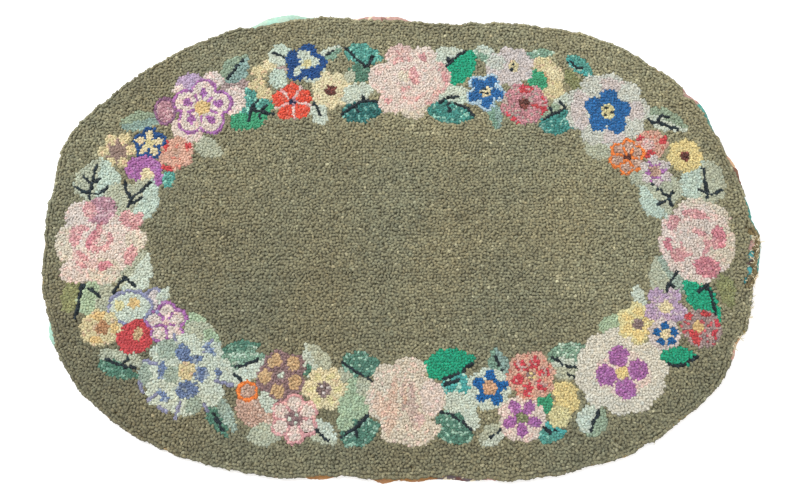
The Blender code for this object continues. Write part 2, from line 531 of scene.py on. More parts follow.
# The wreath from the top rose down to the right rose.
NORTH_EAST: list[Drawn] = [
    Bud(-58, 220, 17, 13, Y.PINE, turn=15),
    Bud(-70, 216, 8, 9, Y.MINT_GREY),
    Leaf(-52, 247, 54, 30, Y.TEAL, turn=-14),
    vine([-75, 256, -61, 240, -49, 231], [-45, 230, -40, 244]),
    Leaf(-58, 192, 46, 30, Y.MINT_WHITE, turn=25),
    Leaf(-52, 167, 60, 30, Y.DEEP_TEAL, turn=8),
    vine([-79, 164, -64, 175, -48, 182, -34, 180], [-62, 176, -58, 166], [-50, 183, -53, 189]),
    Leaf(62, 244, 48, 30, Y.MINT_WHITE, turn=10),
    Leaf(79, 230, 60, 34, Y.EMERALD, turn=52),
    vine([54, 227, 63, 235, 73, 244, 82, 251], [62, 235, 60, 241]),
    Leaf(111, 247, 34, 22, Y.MINT_WHITE, Y.SPECKLED_SAGE, turn=-24),
    Leaf(184, 248, 36, 14, Y.SPECKLED_SAGE, turn=4),
    Bud(187, 232, 16, 11, Y.CREAM, turn=-12),
    Bud(200, 217, 15, 14, Y.PALE_CREAM, turn=-40),
    Bud(188, 212, 6, 10, Y.TAN),
    Bud(199, 196, 15, 14, Y.CREAM),
    Leaf(178, 211, 34, 27, Y.LEAF_GREEN, turn=118),
    Leaf(227, 207, 38, 18, Y.GREEN_OLIVE, turn=-65),
    Leaf(236, 230, 44, 22, Y.TEAL, Y.AQUA, turn=-40),
    vine([224, 236, 232, 227, 238, 228]),
    Leaf(70, 189, 54, 30, Y.MINT_WHITE, Y.BLUE_MINT, turn=-4),
    Leaf(63, 165, 62, 30, Y.TEAL_TWEED, turn=-10),
    vine([50, 180, 58, 186, 73, 187], [71, 177, 85, 171, 92, 162], [60, 178, 62, 168]),
    Leaf(122, 160, 38, 18, Y.MISTY_TEAL, Y.SAGE, turn=-82),
    Ruffled(143, 229, 33, 30, 8, Y.LILAC_WHITE, notch=0.24, turn=12),
    Bud(124, 236, 12, 11, Y.GREY_WHITE),
    Bud(147, 230, 7, 8, Y.CREAM),
    vine([145, 226, 145, 226], [148, 233, 148, 233]),
    Leaf(216, 178, 44, 26, Y.MINT_WHITE, Y.MINT_GREY, turn=30),
    Leaf(208, 153, 58, 34, Y.TEAL_TWEED, turn=14),
    Leaf(196, 168, 34, 14, Y.GREY_GREEN, turn=30),
    vine([186, 156, 197, 163, 214, 170, 208, 181], [198, 163, 194, 172]),
    Ruffled(160, 177, 32, 29, 7, Y.DUSTY_ROSE, notch=0.1),
    Fold(160, 177, 26, 7, 205, 262, Y.RED_TWEED),
    Fold(160, 177, 24, 6, 60, 112, Y.RED_TWEED),
    Fold(160, 177, 27, 5, -35, 25, Y.RED_TWEED),
    Fold(160, 177, 15, 5, -40, 10, Y.ROSE_DEEP),
    Fold(160, 177, 18, 5, 62, 110, Y.RED),
    Bud(177, 173, 8, 3, Y.RED, turn=-15),
    Bud(160, 177, 8, 7, Y.BROWN),
    Blossom(
        109, 194, 27, 5, Y.PALE_BLUE, Y.PALE_CREAM, 7, heart=Y.ROYAL, heart_size=0.66, full=1.2, dots=Y.VEIN,
        turn=61
    ),
    Leaf(346, 154, 58, 30, Y.GREY_GREEN, Y.MINT_WHITE, turn=-24),
    vine([323, 154, 340, 149, 358, 143], [332, 152, 339, 160, 348, 160]),
    Bud(256, 116, 19, 16, Y.MINT_GREY, turn=-20),
    Ruffled(269, 168, 55, 53, 9, Y.GREY_WHITE, Y.LILAC_WHITE, notch=0.15),
    Blossom(270, 166, 32, 5, Y.ROYAL, Y.LEMON, 10, full=1.06, dots=Y.VEIN, turn=84),
    Leaf(386, 68, 64, 58, Y.BLUE_MINT, Y.MINT_GREY, turn=76),
    Bud(401, 72, 15, 26, Y.MINT_GREY, turn=8),
    vine([389, 87, 391, 68, 392, 50], [392, 54, 381, 60], [393, 52, 403, 55, 411, 60]),
    Leaf(324, 48, 58, 42, Y.BLUE_MINT, Y.MINT_GREY, turn=125),
    *buds(Y.MINT_GREY, (345, 60, 16, 16), (304, 76, 14, 10, -40)),
    vine([322, 67, 333, 57, 342, 49, 346, 38], [341, 46, 327, 40], [342, 50, 348, 57]),
    Ruffled(323, 121, 23, 20, 6, Y.SALMON, notch=0.12),
    *buds(Y.RED, (322, 107, 8, 5), (340, 127, 4, 7, -30)),
    Bud(310, 130, 7, 3, Y.RED_TWEED, turn=30),
    Bud(319, 120, 9, 8, Y.ROSE_BLUSH),
    Blossom(292, 104, 23, 6, Y.PINK_TAN, Y.ORANGE, 6, rim=Y.ORANGE, full=1.2, dots=Y.BROWN, turn=20),
    Ruffled(367, 105, 23, 23, 8, Y.BUTTER, notch=0.08),
    Bud(366, 105, 7, 7, Y.BROWN),
    Blossom(327, 84, 22, 6, Y.LILAC_WHITE, Y.PINK_TAN, 8, ground=Y.PURPLE, full=0.84, turn=35),
]

# The wreath from the left rose down to the bottom rose.
SOUTH_WEST: list[Drawn] = [
    Bud(-416, -80, 12, 22, Y.GREEN_OLIVE, turn=-8),
    Leaf(-383, -80, 58, 50, Y.MINT, Y.MINT_GREY, turn=86),
    vine([-403, -65, -405, -84, -409, -107], [-401, -67, -390, -72, -379, -80]),
    Leaf(-338, -47, 58, 50, Y.MINT_GREY, Y.MINT_WHITE, turn=60),
    vine([-350, -56, -356, -63, -362, -74], [-350, -56, -336, -67], [-333, -74, -325, -82]),
    Bud(-312, -86, 12, 16, Y.LILAC_WHITE, rim=Y.PERIWINKLE),
    Leaf(-300, -80, 26, 15, Y.MINT_WHITE, turn=70),
    Bud(-259, -111, 13, 10, Y.MINT, turn=-30),
    Bud(-252, -132, 24, 20, Y.MINT_GREY, turn=-40),
    Bud(-237, -132, 8, 12, Y.MINT, turn=40),
    Ruffled(-341, -94, 28, 22, 5, Y.MINT_WHITE, rim=Y.PERIWINKLE, notch=0.12),
    Bud(-355, -92, 6, 8, Y.LEMON),
    Bud(-336, -89, 7, 7, Y.GOLD),
    Leaf(-346, -158, 62, 24, Y.MINT_GREY, turn=-12),
    Leaf(-350, -171, 54, 22, Y.PINE, turn=-20),
    vine([-367, -158, -352, -165, -329, -169], [-346, -164, -340, -158]),
    Ruffled(-332, -131, 24, 22, 5, Y.RED, notch=0.1, turn=15),
    Bud(-329, -127, 7, 7, Y.TAN),
    Blossom(-294, -113, 26, 5, Y.ROSE_PALE, Y.ROSE_BLUSH, 4, rim=Y.PURPLE, turn=22),
    Ruffled(-376, -120, 26, 23, 7, Y.CREAM, Y.GOLD, notch=0.1),
    Bud(-373, -119, 8, 9, Y.CARAMEL),
    Leaf(-201, -148, 50, 26, Y.PINE, Y.SPECKLED_SAGE, turn=14),
    Leaf(-190, -166, 54, 34, Y.SPECKLED_SAGE, Y.MINT_WHITE, turn=24),
    Bud(-200, -184, 14, 8, Y.MINT_WHITE),
    vine([-217, -170, -196, -166, -178, -158], [-214, -177, -204, -178, -198, -184]),
    Leaf(-226, -232, 46, 20, Y.PINE, turn=-55),
    Leaf(-214, -226, 46, 16, Y.DUSTY_MINT, turn=-62),
    vine([-231, -225, -225, -234, -217, -245]),
    Ruffled(-266, -177, 58, 51, 8, Y.MINT_WHITE, notch=0.17),
    vine([-236, -134, -245, -149], [-284, -128, -279, -146], [-318, -160, -301, -165], yarn=Y.PERIWINKLE),
    vine([-311, -209, -296, -197], [-278, -230, -272, -212], [-238, -222, -247, -207], yarn=Y.PERIWINKLE),
    vine([-210, -190, -229, -186], [-297, -217, -289, -222], [-319, -198, -323, -187], yarn=Y.PERIWINKLE),
    *buds(
        Y.DUSTY_MINT, (-291, -146, 13, 13, 35), (-317, -177, 8, 13), (-284, -178, 9, 11),
        (-255, -214, 11, 11),
    ),
    *buds(
        Y.SLATE_BLUE, (-239, -146, 5, 9, 42), (-227, -176, 4, 9), (-293, -203, 5, 11, 35),
        (-271, -151, 10, 11), (-256, -159, 9, 6, 15), (-297, -172, 5, 12), (-248, -177, 10, 9),
        (-264, -196, 13, 11),
    ),
    Bud(-266, -173, 11, 11, Y.CREAM),
    Leaf(-108, -162, 52, 36, Y.MINT_WHITE, Y.MINT_GREY, turn=118),
    Bud(-117, -172, 3, 8, Y.PINE, turn=-15),
    Bud(-90, -227, 15, 14, Y.DARK_OLIVE),
    Bud(-180, -221, 25, 20, Y.PINK_TAN, turn=-30),
    Bud(-190, -198, 12, 11, Y.PINK_TAN, rim=Y.ORANGE),
    Leaf(-163, -249, 52, 26, Y.MINT_GREY, turn=10),
    Bud(-161, -209, 15, 15, Y.MINT_WHITE),
    Leaf(-97, -248, 44, 26, Y.MINT_WHITE, Y.MINT_GREY, turn=-36),
    vine([-107, -243, -99, -250, -92, -257]),
    Bud(-70, -180, 12, 12, Y.MINT_GREY),
    Leaf(-50, -165, 54, 30, Y.SPECKLED_PINE, turn=-8),
    vine([-74, -163, -60, -173, -47, -180, -39, -184], [-49, -180, -58, -191]),
    Bud(-59, -208, 19, 28, Y.MINT, turn=-15),
    Bud(-48, -192, 9, 12, Y.MINT_GREY),
    Leaf(-50, -246, 54, 32, Y.SPECKLED_PINE, turn=22),
    Bud(-70, -233, 10, 13, Y.MINT, turn=-35),
    vine([-74, -253, -58, -241, -42, -228], [-57, -242, -56, -251]),
    Ruffled(-149, -178, 32, 31, 5, Y.MAUVE_BROWN, notch=0.2, turn=43),
    Blossom(
        -149, -178, 28, 5, Y.TAN, Y.DUSK_BROWN, 6, ground=Y.MAUVE_BROWN, full=0.76, dots=Y.MINT_WHITE,
        turn=43
    ),
    Blossom(
        -96, -195, 28, 6, Y.PALE_CREAM, Y.DUSK_BROWN, 9, heart=Y.LEMON, heart_size=0.4, dots=Y.LILAC_WHITE,
        turn=0
    ),
    Blossom(-132, -231, 29, 6, Y.ROSE_PALE, Y.MAUVE_BROWN, 10, rim=Y.ROSE_PINK, dots=Y.MINT_WHITE, turn=30),
]

# The wreath from the bottom rose round to the right rose.
SOUTH_EAST: list[Drawn] = [
    Leaf(66, -188, 44, 36, Y.AQUA, turn=80),
    Leaf(58, -164, 66, 36, Y.EMERALD, turn=12),
    vine([50, -183, 60, -179, 72, -174, 85, -163], [52, -189, 60, -187, 68, -184]),
    Leaf(73, -222, 58, 36, Y.MINT_WHITE, turn=-50),
    Leaf(62, -243, 52, 38, Y.SPECKLED_PINE, turn=-30),
    vine([46, -223, 58, -226, 70, -233, 82, -243]),
    Leaf(118, -164, 42, 24, Y.SAGE, Y.MISTY_TEAL, turn=104),
    vine([115, -155, 119, -167, 126, -178]),
    Leaf(110, -249, 40, 24, Y.MINT_GREY, Y.MINT_WHITE, turn=38),
    vine([106, -253, 115, -248, 121, -242]),
    Ruffled(106, -195, 28, 27, 7, Y.MINT_WHITE, notch=0.18),
    Blossom(107, -194, 24, 5, Y.MINT_WHITE, Y.PEACH, 9, heart=Y.BRIGHT_BLUE, heart_size=0.7, turn=85),
    Leaf(205, -151, 54, 28, Y.SPECKLED_SAGE, turn=14),
    Leaf(203, -170, 48, 28, Y.MINT_WHITE, Y.MINT_GREY, turn=-8),
    vine([184, -157, 193, -160, 197, -167, 212, -168], [212, -168, 218, -176], [205, -178, 213, -182]),
    Leaf(171, -212, 38, 26, Y.LEAF_GREEN, turn=75),
    Leaf(177, -246, 40, 28, Y.AQUA, Y.TEAL, turn=-6),
    vine([171, -242, 178, -247, 184, -245]),
    *buds(Y.BUTTER, (198, -197, 17, 11, -8), (200, -214, 16, 12)),
    Bud(191, -229, 14, 13, Y.LEMON, turn=20),
    Ruffled(145, -230, 29, 29, 5, Y.ROSE_PALE, notch=0.14, turn=10),
    Blossom(145, -230, 27, 5, Y.ROSE_PALE, Y.OLIVE_EYE, 7, heart=Y.PURPLE, heart_size=0.64, turn=-18),
    Ruffled(158, -179, 31, 31, 6, Y.SALMON, notch=0.18, turn=75),
    Blossom(
        158, -179, 29, 6, Y.SALMON, Y.DUSK_BROWN, 6, heart=Y.RED_TWEED, heart_size=0.6, dots=Y.BUTTER,
        turn=75
    ),
    Bud(262, -117, 17, 13, Y.MINT, turn=10),
    Leaf(334, -54, 58, 52, Y.MINT_GREY, Y.DUSTY_MINT, turn=118),
    vine([347, -48, 338, -59, 330, -75], [347, -48, 357, -58], [337, -62, 343, -70]),
    Leaf(376, -83, 70, 35, Y.EMERALD, turn=-58),
    vine([371, -73, 383, -66, 388, -85, 392, -109], [380, -69, 388, -75]),
    Leaf(407, -74, 44, 22, Y.GREEN_OLIVE, turn=-78),
    Leaf(340, -156, 52, 26, Y.EMERALD, turn=4),
    vine([324, -164, 338, -168, 351, -162, 364, -155]),
    Leaf(232, -231, 46, 36, Y.MINT_WHITE, Y.GREY_GREEN, turn=66),
    vine([240, -217, 235, -230, 228, -244]),
    Ruffled(269, -173, 58, 54, 11, Y.PETAL_WHITE, notch=0.12),
    Ruffled(271, -175, 35, 30, 4, Y.ROSE_PALE, notch=0.16),
    Blossom(270, -175, 33, 4, Y.PURPLE, Y.BUTTER, 8, ground=Y.ROSE_PALE, full=0.92, turn=10),
    Leaf(296, -82, 36, 17, Y.MINT_WHITE, turn=100),
    Blossom(293, -114, 27, 6, Y.LEMON, Y.DUSK_BROWN, 7, full=1.25, heart=Y.BUTTER, turn=30),
    Blossom(329, -94, 28, 5, Y.LILAC, Y.PALE_CREAM, 8, ground=Y.LILAC_WHITE, full=1.0, turn=55),
    Ruffled(372, -120, 26, 25, 6, Y.GREY_TWEED, notch=0.12),
    Bud(362, -131, 6, 11, Y.RED, turn=20),
    Bud(386, -129, 6, 8, Y.RED_TWEED, turn=-20),
    *buds(Y.RED, (357, -105, 4, 6, -20), (378, -102, 6, 4, -30)),
    Bud(391, -115, 4, 7, Y.RED_TWEED),
    Bud(368, -118, 8, 7, Y.GOLD),
    Ruffled(325, -128, 21, 20, 7, Y.LILAC_WHITE, notch=0.12),
    Blossom(327, -128, 16, 5, Y.BRIGHT_BLUE, Y.PALE_CREAM, 7, full=0.9, ground=Y.LILAC_WHITE, turn=20),
]

# The rose at the middle of the far side.
TOP_ROSE: list[Drawn] = [
    Bud(-3, 246, 19, 15, Y.ROSE_BLUSH, turn=10),
    *buds(Y.ROSE_PALE, (28, 246, 17, 13), (-28, 214, 17, 20)),
    Bud(44, 214, 20, 24, Y.ROSE_BLUSH),
    Bud(15, 172, 18, 15, Y.ROSE_CREAM),
    Bud(-14, 178, 18, 14, Y.ROSE_PALE),
    Ruffled(10, 209, 46, 42, 9, Y.ROSE_PALE, notch=0.1),
    Fold(4, 212, 30, 12, 70, 130, Y.ROSE_BLUSH),
    *buds(Y.ROSE_PINK, (27, 243, 6, 6), (15, 216, 7, 13, 12)),
    Bud(4, 197, 8, 5, Y.ROSE_BLUSH, turn=30),
    Fold(12, 208, 24, 8, 230, 320, Y.ROSE_BLUSH),
    Fold(10, 208, 38, 8, 300, 350, Y.ROSE_BLUSH),
    Bud(2, 216, 7, 9, Y.ROSE_CREAM),
    Bud(-19, 181, 5, 3, Y.ROSE_PINK),
    Bud(-33, 222, 4, 6, Y.ROSE_BLUSH),
    Bud(56, 214, 5, 10, Y.ROSE_PINK, turn=20),
]

# The rose at the middle of the near side, the palest.
BOTTOM_ROSE: list[Drawn] = [
    Ruffled(9, -243, 38, 21, 5, Y.ROSE_CREAM, notch=0.16),
    *buds(Y.ROSE_CREAM, (8, -172, 22, 16), (-18, -178, 18, 14)),
    Ruffled(3, -207, 50, 34, 8, Y.ROSE_CREAM, notch=0.1),
    Bud(36, -206, 15, 22, Y.ROSE_PALE),
    Leaf(-13, -214, 74, 15, Y.PEACH_ROSE, turn=84),
    Leaf(12, -212, 54, 12, Y.ROSE_SHADE, turn=93),
    Leaf(2, -200, 44, 7, Y.ROSE_SHADE, Y.PEACH_ROSE, turn=88),
    Bud(-28, -214, 7, 16, Y.PEACH_ROSE, turn=10),
    Bud(22, -232, 5, 8, Y.ROSE_BLUSH),
]

# The rose at the left end, with a mauve petal on top.
LEFT_ROSE: list[Drawn] = [
    Bud(-412, 28, 20, 16, Y.ROSE_PALE, turn=20),
    Ruffled(-388, -14, 50, 48, 8, Y.ROSE_PALE, notch=0.14),
    *buds(Y.ROSE_CREAM, (-426, -12, 15, 24), (-339, -8, 14, 15)),
    Bud(-408, -46, 24, 17, Y.ROSE_PALE, turn=10),
    Bud(-376, -48, 20, 17, Y.ROSE_CREAM),
    Bud(-386, 32, 20, 18, Y.MAUVE_PINK),
    *buds(
        Y.ROSE_PINK, (-400, 32, 9, 12, 20), (-352, 21, 9, 12, 20), (-339, 17, 7, 13, -25), (-416, -2, 8, 14),
        (-408, 8, 11, 4),
    ),
    Leaf(-392, -4, 44, 13, Y.ROSE_DEEP, Y.ROSE_PINK, turn=68),
    Fold(-386, -6, 14, 6, 270, 400, Y.ROSE_PINK),
    *buds(Y.ROSE_PINK, (-384, -19, 14, 4, 5), (-406, -33, 7, 12, 20)),
    Bud(-392, -38, 12, 6, Y.ROSE_BLUSH, turn=-10),
    Bud(-376, -41, 9, 6, Y.ROSE_DEEP, turn=10),
    Bud(-344, -27, 7, 13, Y.ROSE_PINK, turn=-8),
    Fold(-388, -12, 30, 6, 190, 240, Y.ROSE_BLUSH),
]

# The rose at the right end, with patches in rings.
RIGHT_ROSE: list[Drawn] = [
    Bud(385, 26, 34, 20, Y.ROSE_CREAM, turn=-15),
    Ruffled(373, -10, 48, 52, 10, Y.ROSE_PALE, notch=0.1),
    Bud(405, -14, 18, 26, Y.ROSE_CREAM),
    Bud(374, -45, 26, 18, Y.ROSE_PALE),
    Fold(371, -10, 38, 11, 55, 112, Y.ROSE_PINK),
    Bud(402, -4, 9, 16, Y.ROSE_DEEP, turn=5),
    Bud(396, -12, 6, 8, Y.ROSE_PINK),
    Fold(369, -13, 18, 8, -60, 100, Y.ROSE_PINK),
    Fold(369, -13, 15, 5, 160, 270, Y.ROSE_PINK),
    Bud(345, 15, 7, 12, Y.ROSE_PINK, turn=-25),
    Bud(337, -13, 5, 8, Y.ROSE_DEEP, turn=10),
    Bud(348, -27, 9, 9, Y.ROSE_PINK, turn=30),
    Bud(385, -43, 17, 14, Y.ROSE_DEEP, turn=-12),
]

WREATH: tuple[Drawn, ...] = (
    *NORTH_WEST, *NORTH_EAST, *SOUTH_WEST, *SOUTH_EAST, *TOP_ROSE, *BOTTOM_ROSE, *LEFT_ROSE, *RIGHT_ROSE
)


@dataclass(frozen=True)
class Chart:
    """The whole pattern.

    Attributes:
        motifs: what is drawn, in order, so that a later motif covers an earlier one.
    """

    motifs: tuple[Drawn, ...] = WREATH

    @staticmethod
    def covers(motifs: Iterable[Drawn]) -> list[Motif]:
        """The motifs that fill an area."""
        return [motif for motif in motifs if isinstance(motif, Motif)]

    def yarns_at(self, x: Array, y: Array) -> Array:
        """Yarn numbers under the places, with the ground's yarn where no motif lies."""
        found = np.full(x.shape, NUMBER_OF[Yarn.OLIVE])
        for motif in self.covers(self.motifs):
            near = (np.abs(x - motif.x) < 80.0) & (np.abs(y - motif.y) < 80.0)
            drawn = motif.paint(x[near], y[near])
            held = found[near]
            found[near] = np.where(drawn >= 0, drawn, held)
        return found

    def visible_strokes(self) -> list[tuple[Array, Yarn]]:
        """The lines to hook, cut where a later motif covers them, as even runs of places."""
        runs: list[tuple[Array, Yarn]] = []
        for i, motif in enumerate(self.motifs):
            for stroke in motif.strokes():
                spots = evenly_along(stroke.points, STROKE_PITCH)
                clear = np.ones(len(spots), bool)
                for later in self.covers(self.motifs[i + 1 :]):
                    clear &= later.paint(*spots.T) < 0
                runs.append((spots[clear], stroke.yarn))
        return runs


# --- Where the loops are hooked ---

# Distances in millimetres.
ROW_PITCH = 4.0
LOOP_PITCH = 4.3
STROKE_PITCH = 3.6
CLEAR_OF_STROKE = 2.8
NEAREST = 2.6
EDGE_INSETS = (2.0, 5.8)
FIELD_DEPTH = 95.0
# The size of the wreath's loops, as a share of the ground's.
TIGHT = 0.83
# The spacing at which loops rest, as a share of the pitch, and how far they give way in one round.
REST = 0.97
YIELD = 0.55


def evenly_along(points: Array, pitch: float) -> Array:
    """Places at an even pitch along a line through the points, both ends included."""
    legs = np.hypot(*np.diff(points, axis=0).T)
    walked = np.concatenate([[0.0], np.cumsum(legs)])
    count = max(int(round(walked[-1] / pitch)), 0) + 1
    at = np.linspace(0.0, walked[-1], count)
    return np.stack([np.interp(at, walked, points[:, k]) for k in (0, 1)], axis=1)


def waves(x: Array, y: Array, scale: float, seed: int) -> Array:
    """Smooth noise from -1 to 1, with swells about scale millimetres across."""
    rng = np.random.default_rng(seed)
    total = np.zeros(x.shape)
    for _ in range(7):
        angle, phase = rng.uniform(0.0, math.tau, 2)
        step = math.tau / (scale * rng.uniform(1.4, 3.2))
        total += np.sin(step * (x * math.cos(angle) + y * math.sin(angle)) + phase)
    return np.clip(total / 3.4, -1.0, 1.0)


# Each worn stretch of the edge: bearings of its ends in degrees, and how far the pile has drawn back.
WORN: tuple[tuple[float, float, float], ...] = (
    (0.4, 7.0, 6.2), (9.5, 15.0, 2.4), (18.5, 22.5, 3.2), (25.8, 28.0, 2.8), (86.5, 104.0, 3.4),
    (108.5, 127.0, 3.2), (116.5, 127.5, 3.8), (194.0, 199.0, 2.5), (249.0, 258.0, 1.6),
    (263.5, 277.0, 3.2), (279.5, 285.5, 3.2), (286.5, 292.5, 2.2), (337.5, 343.5, 6.0),
    (344.0, 353.0, 1.4),
)


def solid_places(node: str) -> Array:
    """Corners of a node's solid, in millimetres."""
    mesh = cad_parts[node].data
    places = np.empty(len(mesh.vertices) * 3)
    mesh.vertices.foreach_get("co", places)
    return places.reshape(-1, 3) / MM


class RugPlan:
    """The rug's outline seen from above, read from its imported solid.

    Attributes:
        ring: the edge's widest line, in millimetres, anticlockwise.
        bearings: the ring's bearings in radians, rising.
        reach: the ring's distance from the middle at each of them.
        half_size: how far the rug reaches along X and along Y.
    """

    def __init__(self, node: str) -> None:
        """Reads the outline of a node's solid."""
        places = solid_places(node)
        low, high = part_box(node)
        middle = 0.55 * (low[2] + high[2]) / MM
        nearest = np.abs(places[:, 2] - middle) < 0.8
        edge = np.unique(places[nearest].round(3), axis=0)
        order = np.argsort(np.arctan2(edge[:, 1], edge[:, 0]))
        self.ring = edge[order][:, :2]
        self.bearings = np.arctan2(self.ring[:, 1], self.ring[:, 0])
        self.reach = np.hypot(*self.ring.T)
        self.half_size = self.reach.max(), np.abs(self.ring[:, 1]).max()

    @staticmethod
    def wear(bearing: Array | float) -> Array:
        """How far the pile has drawn back from the edge at bearings in radians, in millimetres."""
        scallops = 0.9 + 0.45 * np.sin(121 * bearing + 0.7) + 0.35 * np.sin(77 * bearing + 2.0)
        back = scallops + 0.30 * np.sin(197 * bearing)
        degrees = np.degrees(bearing) % 360.0
        for start, end, depth in WORN:
            share = np.clip((degrees - start) / (end - start), 0.0, 1.0)
            back = back + depth * np.sqrt(np.abs(np.sin(math.pi * share)))
        return np.maximum(back, 0.0)

    def edge_at(self, bearing: Array | float, worn: bool = True) -> Array:
        """Distance from the middle to the pile's edge, or to the unworn edge, at bearings in radians."""
        reach = np.interp(bearing, self.bearings, self.reach, period=math.tau)
        return reach - self.wear(bearing) if worn else reach

    def inset(self, distance: float, count: int = 720, worn: bool = True) -> Array:
        """A closed line inside the edge by a distance in millimetres, or outside it if that is negative."""
        t = np.linspace(-math.pi, math.pi, count, endpoint=False)
        r = self.edge_at(t, worn)
        line = np.stack([r * np.cos(t), r * np.sin(t)], axis=1)
        smooth = sum(np.roll(line, k, axis=0) for k in range(-6, 7)) / 13.0
        run = np.roll(smooth, -1, axis=0) - np.roll(smooth, 1, axis=0)
        run /= np.linalg.norm(run, axis=1)[:, None]
        inward = np.stack([-run[:, 1], run[:, 0]], axis=1)
        share = min(max(distance / 12.0, 0.0), 1.0)
        return (1.0 - share) * line + share * smooth + distance * inward

    def depth(self, x: Array, y: Array) -> Array:
        """How far inside the edge places lie, along the line to the middle, in millimetres."""
        return self.edge_at(np.arctan2(y, x)) - np.hypot(x, y)


@dataclass
class Hooking:
    """Every loop's place and lie.

    Attributes:
        x, y: places in millimetres.
        heading: the way each arch runs, in radians.
        yarn: yarn numbers.
        size: each loop's size as a share of the ground's loops.
    """

    x: Array
    y: Array
    heading: Array
    yarn: Array
    size: Array

    def __len__(self) -> int:
        """How many loops there are."""
        return len(self.x)

    @property
    def tight(self) -> Array:
        """How near each loop is to the smallest size, from 0 to 1."""
        return (1.0 - self.size) / (1.0 - TIGHT)

    def chosen(self, mask: Array) -> Hooking:
        """The loops that a mask picks."""
        return Hooking(*(getattr(self, part.name)[mask] for part in fields(self)))


def along_line(spots: Array, closed: bool) -> Array:
    """The direction of a line at each of its places, in radians."""
    if len(spots) < 2:
        return np.zeros(len(spots))
    if closed:
        step = np.roll(spots, -1, axis=0) - np.roll(spots, 1, axis=0)
    else:
        step = np.gradient(spots, axis=0)
    return np.arctan2(step[:, 1], step[:, 0])


def torn_gap(x: Array, y: Array, plan: RugPlan) -> Array:
    """True where the pile has gone along the worn right-hand edge."""
    centre, spread, inset, half = -3.2, 5.4, 8.6, 4.5
    bearing = np.degrees(np.arctan2(y, x))
    middle = inset + 1.6 * np.sin(bearing * 2.3) + 0.9 * np.sin(bearing * 5.1 + 1.0)
    share = (bearing - centre) / spread
    reach = half * np.clip(1.0 - share**2, 0.0, 1.0) ** 0.4
    return (np.abs(plan.depth(x, y) - middle) < reach) & (np.abs(share) < 1.0)


